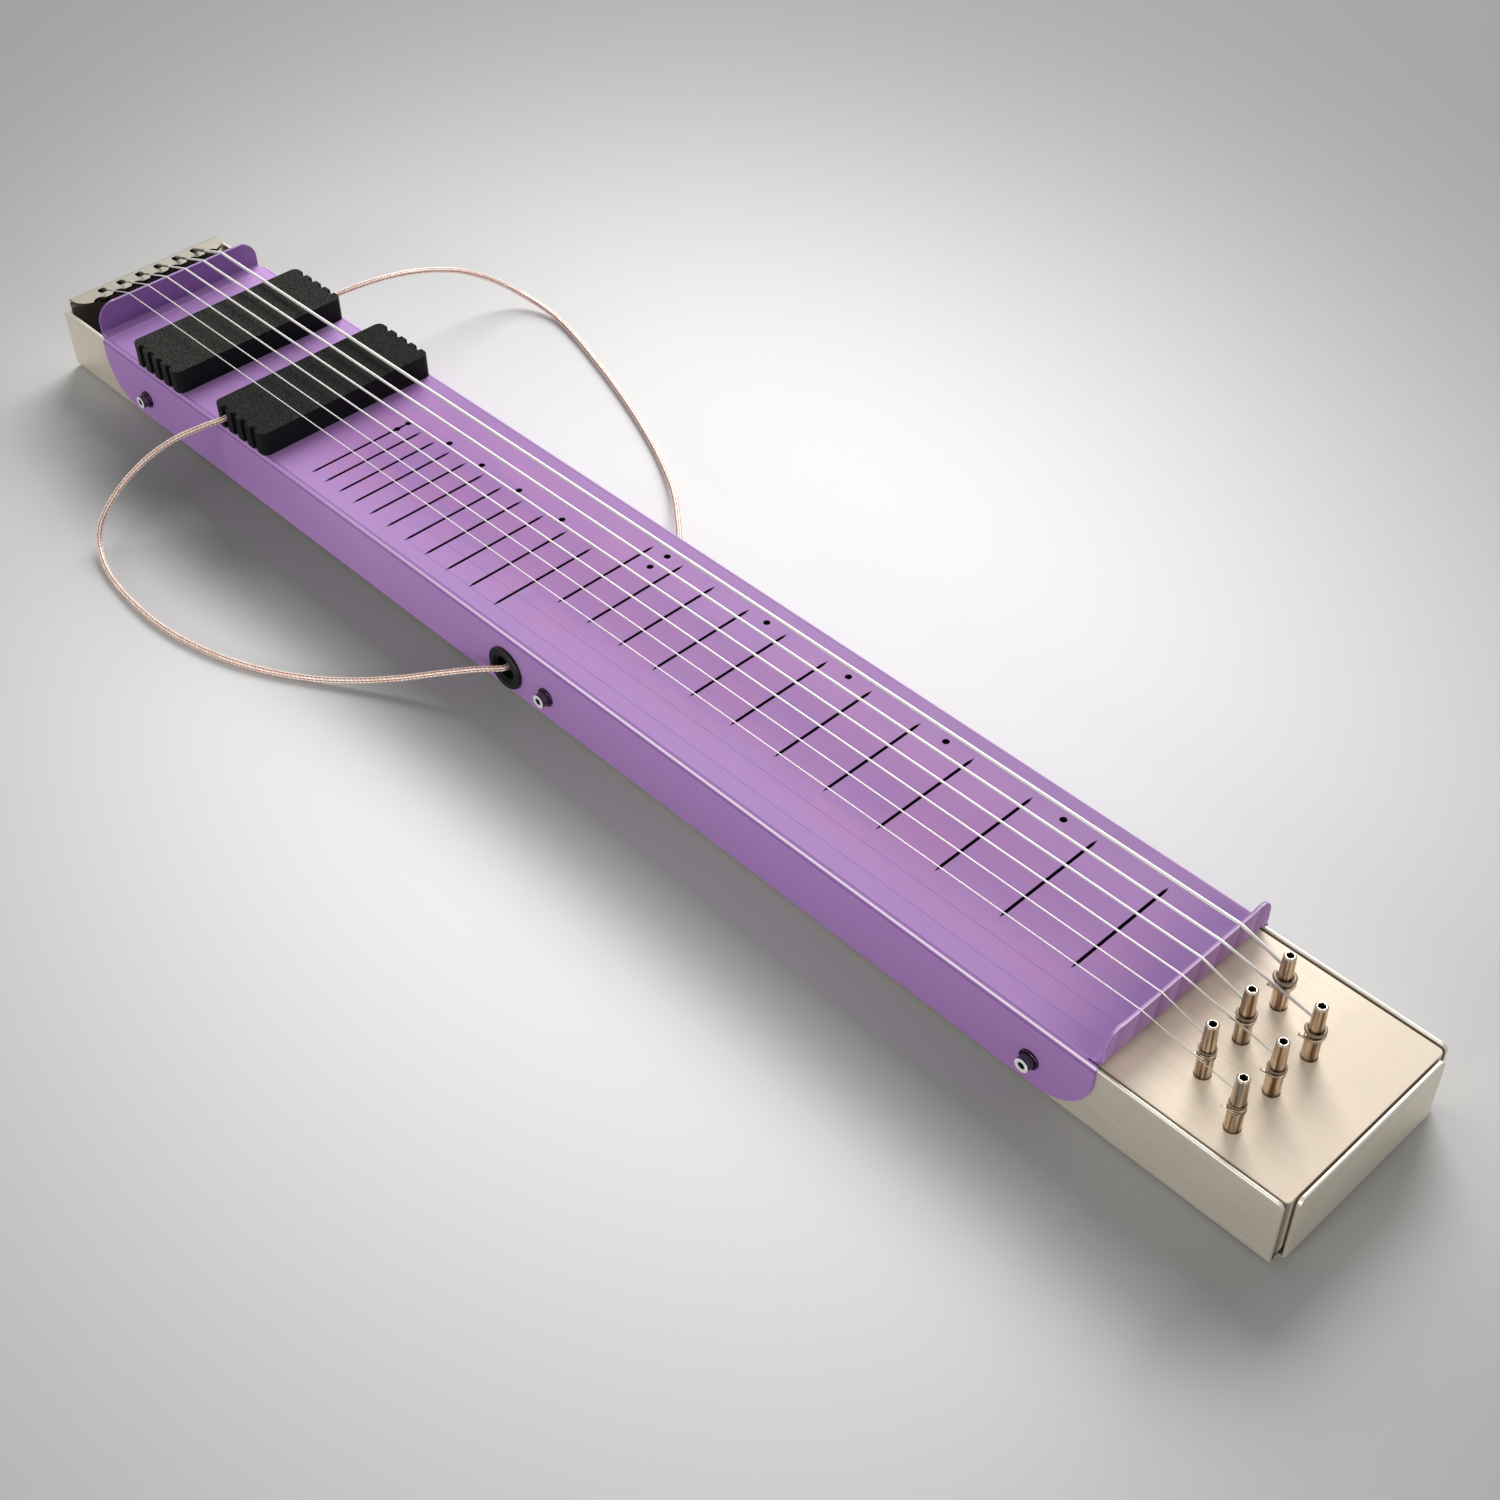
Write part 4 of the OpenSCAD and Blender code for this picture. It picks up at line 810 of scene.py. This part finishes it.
def make_lead(name, route):
    """A braided lead along the route, from its pickup to its grommet."""
    line = smooth_route([(x * MM, y * MM, z * MM) for x, y, z in route], ROUTE_STEPS)
    points = even_points(line, STITCH / STITCH_POINTS)
    piece = tube(
        name + "_braid", points, LEAD_R, COLUMN_SIDES * BRAID_COLUMNS, BRAID,
        around=BRAID_COLUMNS, along=1 / STITCH, relief=braid_relief,
    )
    stand_for(piece, "copper_braid", name)


BRAID = braided_copper()
make_lead("lead_near", NEAR_ROUTE)
make_lead("lead_far", FAR_ROUTE)


# Strings and their turns on the pins

# Lengths in millimetres and sweeps in degrees, as in the solids
WRAP_FIT, TURN_GAP, WIND_FIT = 0.08, 0.42, 0.15
NECK_R, COLLAR_HEIGHT, WIND_ROOM = 2.4, 0.9, 2.6
STANDING_START, STANDING_SWEEP, WIND_START, WIND_SWEEP = 90, 270, 170, 260
TAIL_REACH = 3.4
ANCHOR_INSET, TRAY_SHEET = 6, 1.5
ANCHOR_X = TAIL_X / MM + ANCHOR_INSET
NUT_SPACING, BRIDGE_SPACING = 10, 9.8
NEAR_PEAK = 0.6
STRAIGHT_POINTS, STRING_SIDES, TURN_STEP = 7, 12, 7.5


def string_radius(n):
    """Radius of string n, in millimetres."""
    return GAUGES[n] / 2


def wound_sweep(n):
    """Degrees that string n is wound below its standing turn."""
    pitch = GAUGES[n] + TURN_GAP
    room = WIND_ROOM - GAUGES[n] - pitch * WIND_SWEEP / 360
    return WIND_SWEEP + 360 * max(math.floor(room / pitch), 0)


def wind_top(n):
    """Height at which string n's moving turns start."""
    pitch = GAUGES[n] + TURN_GAP
    return SHOULDER_Z / MM + COLLAR_HEIGHT + WIND_FIT + string_radius(n) + pitch * wound_sweep(n) / 360


def turns(n, first, sweep, z, drop):
    """Points of string n round its pin, in millimetres, from a first angle down through sweep degrees.
    They start at height z and drop so much a turn."""
    reach = NECK_R + WRAP_FIT + string_radius(n)
    pin_x, pin_y = (v / MM for v in PIN_XY[n])
    made = []
    for k in range(math.ceil(sweep / TURN_STEP) + 1):
        a = min(k * TURN_STEP, sweep)
        angle = math.radians(first - a)
        made.append((pin_x + reach * math.cos(angle), pin_y + reach * math.sin(angle), z - drop * a / 360))
    return made


def string_line(n):
    """String n from the anchor over the bridge and the nut to its standing turn, in millimetres."""
    r, rank = string_radius(n), RANKS[n]
    bridge_y, nut_y = rank * BRIDGE_SPACING, rank * NUT_SPACING
    bridge_z, nut_z = BRIDGE_STRING_TOP / MM - r, NUT_STRING_TOP / MM - r
    flap = FLAP_TOP / MM
    start = [
        (ANCHOR_X, bridge_y, flap - TRAY_SHEET), (ANCHOR_X, bridge_y, flap - TRAY_SHEET / 2),
        (ANCHOR_X + 0.7, bridge_y, flap + 0.8), (BRIDGE_X / MM - NEAR_PEAK, bridge_y, bridge_z - 0.1),
        (BRIDGE_X / MM + NEAR_PEAK, bridge_y, bridge_z), (NUT_X / MM - NEAR_PEAK, nut_y, nut_z),
        (NUT_X / MM + NEAR_PEAK, nut_y, nut_z - 0.05),
    ]
    standing_z = wind_top(n) + GAUGES[n] + WIND_FIT
    return start + turns(n, STANDING_START, STANDING_SWEEP, standing_z, 0)


def winding_line(n):
    """Turns of string n that move with its pin, and the cut tail that sticks out at their end."""
    wound = turns(n, WIND_START, wound_sweep(n), wind_top(n), GAUGES[n] + TURN_GAP)
    x, y, z = wound[-1]
    return wound + [(x - TAIL_REACH / 2, y - 0.2, z + 0.1), (x - TAIL_REACH, y - 0.7, z + 0.5)]


def coiled_wire():
    """Wire that has been bent tightly: duller and browner than the free string."""
    f = Finish("coiled_wire", Metallic=1.0)
    around, along, _ = f.uv()
    streak = f.noise(f.vector(around * 9, along * 260, 0.0), 1.0, 3.0)
    colour = f.mix(streak.fade(0.35, 0.65), srgb(142, 118, 94), srgb(222, 206, 182))
    return f.wear(Base_Color=colour, Roughness=streak * 0.2 + 0.24)


COILED_WIRE = coiled_wire()
for n in STRINGS:
    line = np.array(string_line(n)) * MM
    free = run_lengths(line)[STRAIGHT_POINTS]
    radius = string_radius(n) * MM
    piece = tube(f"string_{n}_wire", line, radius, STRING_SIDES, drawn_wire(n, free))
    stand_for(piece, "string_steel", f"string_{n}")
    wound_line = np.array(winding_line(n)) * MM
    piece = tube(f"winding_{n}_wire", wound_line, radius, STRING_SIDES, COILED_WIRE)
    stand_for(piece, "string_steel", f"winding_{n}", body=f"pin_{n}")


# Cover screws and washers: one turned shape each, set at every seat


SPIN_SEED, SPIN_RANGE = 7, math.radians(60)
SHAPE_SIDES, CREASE_ANGLE = 48, 32


def repeat_tree():
    """Sets a shape on each point of a mesh, at a named radius and height, turned to the point's side."""
    g, given = geometry_nodes(
        "repeat", Shape="Object", Radius="Float", Height="Float", Material="Material", Seed="Int",
    )
    shape = g.node("GeometryNodeObjectInfo", values={"Object": given["Shape"]}, out="Geometry")
    scale = g.node("ShaderNodeCombineXYZ", values=[given["Radius"], given["Radius"], given["Height"]])
    settings = {"data_type": "FLOAT_VECTOR"}
    side = g.node("GeometryNodeInputNamedAttribute", settings, {"Name": "facing"}, out="Attribute")
    outward = g.node("FunctionNodeAlignRotationToVector", {"axis": "Z"}, {"Vector": side})
    spin = g.node(
        "FunctionNodeRandomValue", {"data_type": "FLOAT"}, {"Max": SPIN_RANGE, "Seed": given["Seed"]}, out=1,
    )
    twist = g.node("FunctionNodeAxisAngleToRotation", values={"Axis": (0, 0, 1), "Angle": spin})
    both = g.node(
        "FunctionNodeRotateRotation", {"rotation_space": "LOCAL"}, {"Rotation": outward, "Rotate By": twist},
    )
    put = g.node(
        "GeometryNodeInstanceOnPoints",
        values={"Points": given["Geometry"], "Instance": shape, "Rotation": both, "Scale": scale},
    )
    real = g.node("GeometryNodeRealizeInstances", values={"Geometry": put})
    painted = g.node("GeometryNodeSetMaterial", values={"Geometry": real, "Material": given["Material"]})
    g.node("NodeGroupOutput", values={"Geometry": painted})
    return g.tree


REPEAT = repeat_tree()


def repeated(name, shape, seats, radius, height, material):
    """A piece made of the shape at every seat, a (place, facing) pair, as one plain mesh."""
    seat_mesh = bpy.data.meshes.new(name + "_seats")
    seat_mesh.from_pydata([place for place, _ in seats], [], [])
    facing = seat_mesh.attributes.new("facing", "FLOAT_VECTOR", "POINT")
    facing.data.foreach_set("vector", [c for _, side in seats for c in side])
    holder = add_object(name + "_seats", seat_mesh)
    modifier = holder.modifiers.new("repeat", "NODES")
    modifier.node_group = REPEAT
    inputs = {
        "Shape": shape, "Radius": radius, "Height": height, "Material": material, "Seed": SPIN_SEED,
    }
    for socket in REPEAT.interface.items_tree:
        if socket.in_out == "INPUT" and socket.name in inputs:
            modifier[socket.identifier] = inputs[socket.name]
    graph = bpy.context.evaluated_depsgraph_get()
    mesh = bpy.data.meshes.new_from_object(
        holder.evaluated_get(graph), preserve_all_data_layers=True, depsgraph=graph,
    )
    mesh.name = name
    bpy.data.objects.remove(holder)
    return add_object(name, mesh)


def shape_of(name, rings, closed):
    """A turned shape to be repeated: smooth over gentle turns, sharp over the others, never shown."""
    vertices, faces, zones = turned(rings, SHAPE_SIDES, closed)
    mesh = bpy.data.meshes.new(name)
    mesh.from_pydata(vertices, [], faces)
    zone = mesh.attributes.new("zone", "FLOAT", "POINT")
    zone.data.foreach_set("value", zones)
    mesh.polygons.foreach_set("use_smooth", [True] * len(faces))
    mesh.set_sharp_from_angle(angle=math.radians(CREASE_ANGLE))
    return add_object(name, mesh)


SKIN_Y = 0.04375
WASHER_THICK, WASHER_R = 0.001, 0.00385
HEAD_R, HEAD_HEIGHT = 0.00285, 0.0032
SCREW_Z = 0.0148
SCREW_XS = (0.24125, 0.00375, -0.26975)
# Rings as turned() takes them, in shares of the whole radius and height. Zone 0 is the bright face,
# 0.5 the side and 1 the socket
SCREW_RINGS = [
    (0.95, 0.0, 0.5), (1.0, 0.03, 0.5), (1.0, 0.62, 0.5), (0.985, 0.66, 0.5), (1.0, 0.70, 0.5),
    (1.0, 0.86, 0.5), (0.985, 0.93, 0.5), (0.95, 0.985, 0.0), (0.90, 1.0, 0.0), (0.60, 1.0, 0.0),
    (0.55, 0.985, 0.0), (-0.44, 0.95, 0.9), (-0.44, 0.50, 1.0), (-0.40, 0.42, 1.0), (0.12, 0.30, 1.0),
]
WASHER_RINGS = [
    (0.42, 0.0, 0.0), (0.93, 0.0, 0.0), (0.985, 0.08, 0.0), (1.0, 0.25, 0.0), (1.0, 0.75, 0.0),
    (0.985, 0.92, 0.0), (0.94, 1.0, 0.0), (0.46, 1.0, 0.0), (0.42, 0.85, 0.0),
]


screw_shape = shape_of("screw_shape", SCREW_RINGS, closed=False)
washer_shape = shape_of("washer_shape", WASHER_RINGS[::-1], closed=True)
SCREW_METAL = screw_metal()
DARK_METAL = turned_metal("dark_washer_metal", srgb(92, 74, 98), srgb(52, 40, 58), 0.14)
for side, node in ((-1, "cover_screws_near"), (1, "cover_screws_far")):
    seats = [((x, side * (SKIN_Y + WASHER_THICK), SCREW_Z), (0, side, 0)) for x in SCREW_XS]
    piece = repeated(node + "_heads", screw_shape, seats, HEAD_R, HEAD_HEIGHT, SCREW_METAL)
    stand_for(piece, "screw_steel", node)
washer_seats = [((x, side * SKIN_Y, SCREW_Z), (0, side, 0)) for side in (-1, 1) for x in SCREW_XS]
washers = repeated("cover_washers_turned", washer_shape, washer_seats, WASHER_R, WASHER_THICK, DARK_METAL)
stand_for(washers, "dark_washer", "cover_washers")
for shape in (screw_shape, washer_shape):
    bpy.data.objects.remove(shape)


# Solids that keep their shape: finishes and rounded edges

LACQUER, TRAY_METAL, MAPLE = purple_lacquer(), brushed_tray(), maple()
PEBBLED = pebbled_plastic()
BASE_PLASTIC = plain_plastic("base_plastic", srgb(42, 42, 44), srgb(26, 26, 28), 0.42)
BOBBIN_PLASTIC = plain_plastic("bobbin_plastic", srgb(214, 206, 184), srgb(196, 186, 160), 0.36)
COIL_WIRE, FERRITE, RUBBER = wound_coil(), ground_ferrite(), soft_rubber()
BRASS = turned_metal("turned_brass", srgb(220, 184, 112), srgb(184, 144, 78), 0.2)
# painted shade: the ball ends are painted dark, as they lie in shade in the anchor's holes
SHADED_BRASS = turned_metal("aged_brass", srgb(66, 56, 44), srgb(30, 26, 20), 0.34)
ZINC = turned_metal("zinc_plate", srgb(196, 198, 200), srgb(164, 166, 168), 0.32)
JACK_METAL = turned_metal("jack_plate", srgb(226, 226, 226), srgb(196, 196, 198), 0.14)

FINISHES = {
    "tray": TRAY_METAL, "cover": LACQUER, "pin_block": MAPLE, "block_inserts": BRASS, "clinch_nuts": ZINC,
    "grommet_near": RUBBER, "grommet_far": RUBBER, "inner_leads": BASE_PLASTIC, "pickup_screws": ZINC,
    "ball_ends": SHADED_BRASS, "jack_body": JACK_METAL, "jack_nut": JACK_METAL, "jack_washer": JACK_METAL,
}
for name in ("bridge", "neck"):
    FINISHES[name + "_pickup_cover"] = PEBBLED
    FINISHES[name + "_pickup_base"] = BASE_PLASTIC
    FINISHES[name + "_pickup_bobbin"] = BOBBIN_PLASTIC
    FINISHES[name + "_pickup_coil"] = COIL_WIRE
    FINISHES[name + "_pickup_magnet"] = FERRITE
for n in STRINGS:
    FINISHES[f"tuning_pin_{n}"] = aged_nickel(n)
for node, material in FINISHES.items():
    dress(node, material)

round_edges("tray", width=0.00035)
round_edges("cover", width=0.00025)
round_edges("pin_block", width=0.0004)
for name in ("bridge", "neck"):
    round_edges(name + "_pickup_cover", width=0.0005, segments=3)
for node in ("grommet_near", "grommet_far", "jack_nut", "jack_washer"):
    round_edges(node, width=0.0002)
for n in STRINGS:
    round_edges(f"tuning_pin_{n}", width=0.00022)


# Floor, lamps and world


FLOOR_REACH, FLOOR_SIDES = 16.0, 96
POOL_TURN, POOL_X, POOL_Y = 1.045, 0.0257, 0.0319
BAND_HALF_LENGTH, BAND_HALF_WIDTH, BAND_Y = 0.325, 0.043, -0.029
CORNER_X, CORNER_Y = 0.42, -0.04
LAMP_PATCHES = ((0.17, -3.0), (3.0, -0.5))
# How fast each patch of tone falls away, by the square of the distance in metres
POOL_FALL_U, POOL_FALL_V, BAND_FALL, CORNER_FALL, PATCH_FALL = 10.3, 6.2, 1380, 85, 0.55
OUTER_TONE, POOL_TONE, POOL_CORE, FAR_TONE = 0.243, 0.702, 0.07, 0.7


def make_floor():
    """A pale floor whose tone has the pool of light that the photograph shows, and painted shadow beside the
    body.
    """
    f = Finish("studio_floor", Roughness=0.9, Specular_IOR_Level=0.1)
    x, y, _ = f.axes()
    u = (x - POOL_X) * math.cos(POOL_TURN) + (y - POOL_Y) * math.sin(POOL_TURN)
    v = (y - POOL_Y) * math.cos(POOL_TURN) - (x - POOL_X) * math.sin(POOL_TURN)
    pool = f.bell(u * u * POOL_FALL_U + v * v * POOL_FALL_V)
    # painted shadow: the floor is darker in a band along the near side, as in the photograph
    past_x = (x.size() - BAND_HALF_LENGTH).most(0.0)
    past_y = ((y - BAND_Y).size() - BAND_HALF_WIDTH).most(0.0)
    shade = f.bell((past_x * past_x + past_y * past_y) * BAND_FALL)
    depth = (x.fade(0.12, -0.08) * 0.11 + 0.5) * x.fade(-0.36, -0.22)
    depth = depth * (x.fade(0.34, 0.22) * 0.22 + 0.78)
    # and painted shadow in a soft round past the head's near corner
    corner_x, corner_y = x - CORNER_X, y - CORNER_Y
    corner = f.bell((corner_x * corner_x + corner_y * corner_y) * CORNER_FALL)
    near_level = pool * POOL_TONE - pool.power(6.0) * POOL_CORE + OUTER_TONE
    near_level = near_level * (1 - shade * depth) * (1 - corner * 0.2)
    # past what the camera sees, the floor is plain and pale out to the horizon
    beyond = (x * x + y * y).root().fade(1.15, 2.6)
    # painted shade: it is duller in front of each low lamp, so that no bright patch lies there
    lamp_patch = None
    for lamp_x, lamp_y in LAMP_PATCHES:
        aside = (x - lamp_x) * (x - lamp_x) + (y - lamp_y) * (y - lamp_y)
        patch = f.bell(aside * PATCH_FALL)
        lamp_patch = patch if lamp_patch is None else lamp_patch.most(patch)
    level = near_level * (1 - beyond) + beyond * (1 - lamp_patch * 0.78) * FAR_TONE
    colour = f.node("ShaderNodeCombineColor", values=[level, level, level * 0.995])
    f.wear(Base_Color=colour)
    angles = [2 * math.pi * k / FLOOR_SIDES for k in range(FLOOR_SIDES)]
    rim = [(FLOOR_REACH * math.cos(a), FLOOR_REACH * math.sin(a), 0) for a in angles]
    floor = add_piece("floor", rim, [tuple(range(FLOOR_SIDES))], f.material, smooth=False)


def add_lamp(name, place, target, size, power):
    """A round white lamp that faces the target."""
    data = bpy.data.lights.new(name, "AREA")
    data.shape, data.size, data.energy = "DISK", size, power
    lamp = add_object(name, data)
    lamp.location = place
    lamp.rotation_euler = (Vector(target) - Vector(place)).to_track_quat("-Z", "Y").to_euler()


def make_world(diffuse, seen):
    """Soft light on the surfaces, and a plain level where the camera or a reflection sees the world."""
    world = bpy.data.worlds.new("studio")
    world.use_nodes = True
    w = Nodes(world.node_tree)
    w.tree.nodes.clear()
    camera, glossy, through = (
        w.node("ShaderNodeLightPath", out=ray)
        for ray in ("Is Camera Ray", "Is Glossy Ray", "Is Transmission Ray")
    )
    soft = w.node("ShaderNodeBackground", values={"Color": (1, 0.995, 0.985), "Strength": diffuse})
    plain = w.node("ShaderNodeBackground", values={"Color": (1, 1, 1), "Strength": seen})
    shown = w.node("ShaderNodeMixShader", values=[camera.most(glossy).most(through), soft, plain])
    w.node("ShaderNodeOutputWorld", values=[shown])
    bpy.context.scene.world = world


make_floor()
make_world(diffuse=0.40, seen=0.68)
add_lamp("key", place=(-1.6, 2.45, 2.0), target=(0.0, 0.0, 0.0), size=2.4, power=155)
add_lamp("fill", place=(0.2, -3.6, 1.0), target=(0.0, 0.0, 0.02), size=1.6, power=52)
add_lamp("head_fill", place=(3.6, -0.6, 1.0), target=(0.3, 0.0, 0.02), size=1.2, power=20)

bpy.context.scene.view_settings.view_transform = "Standard"
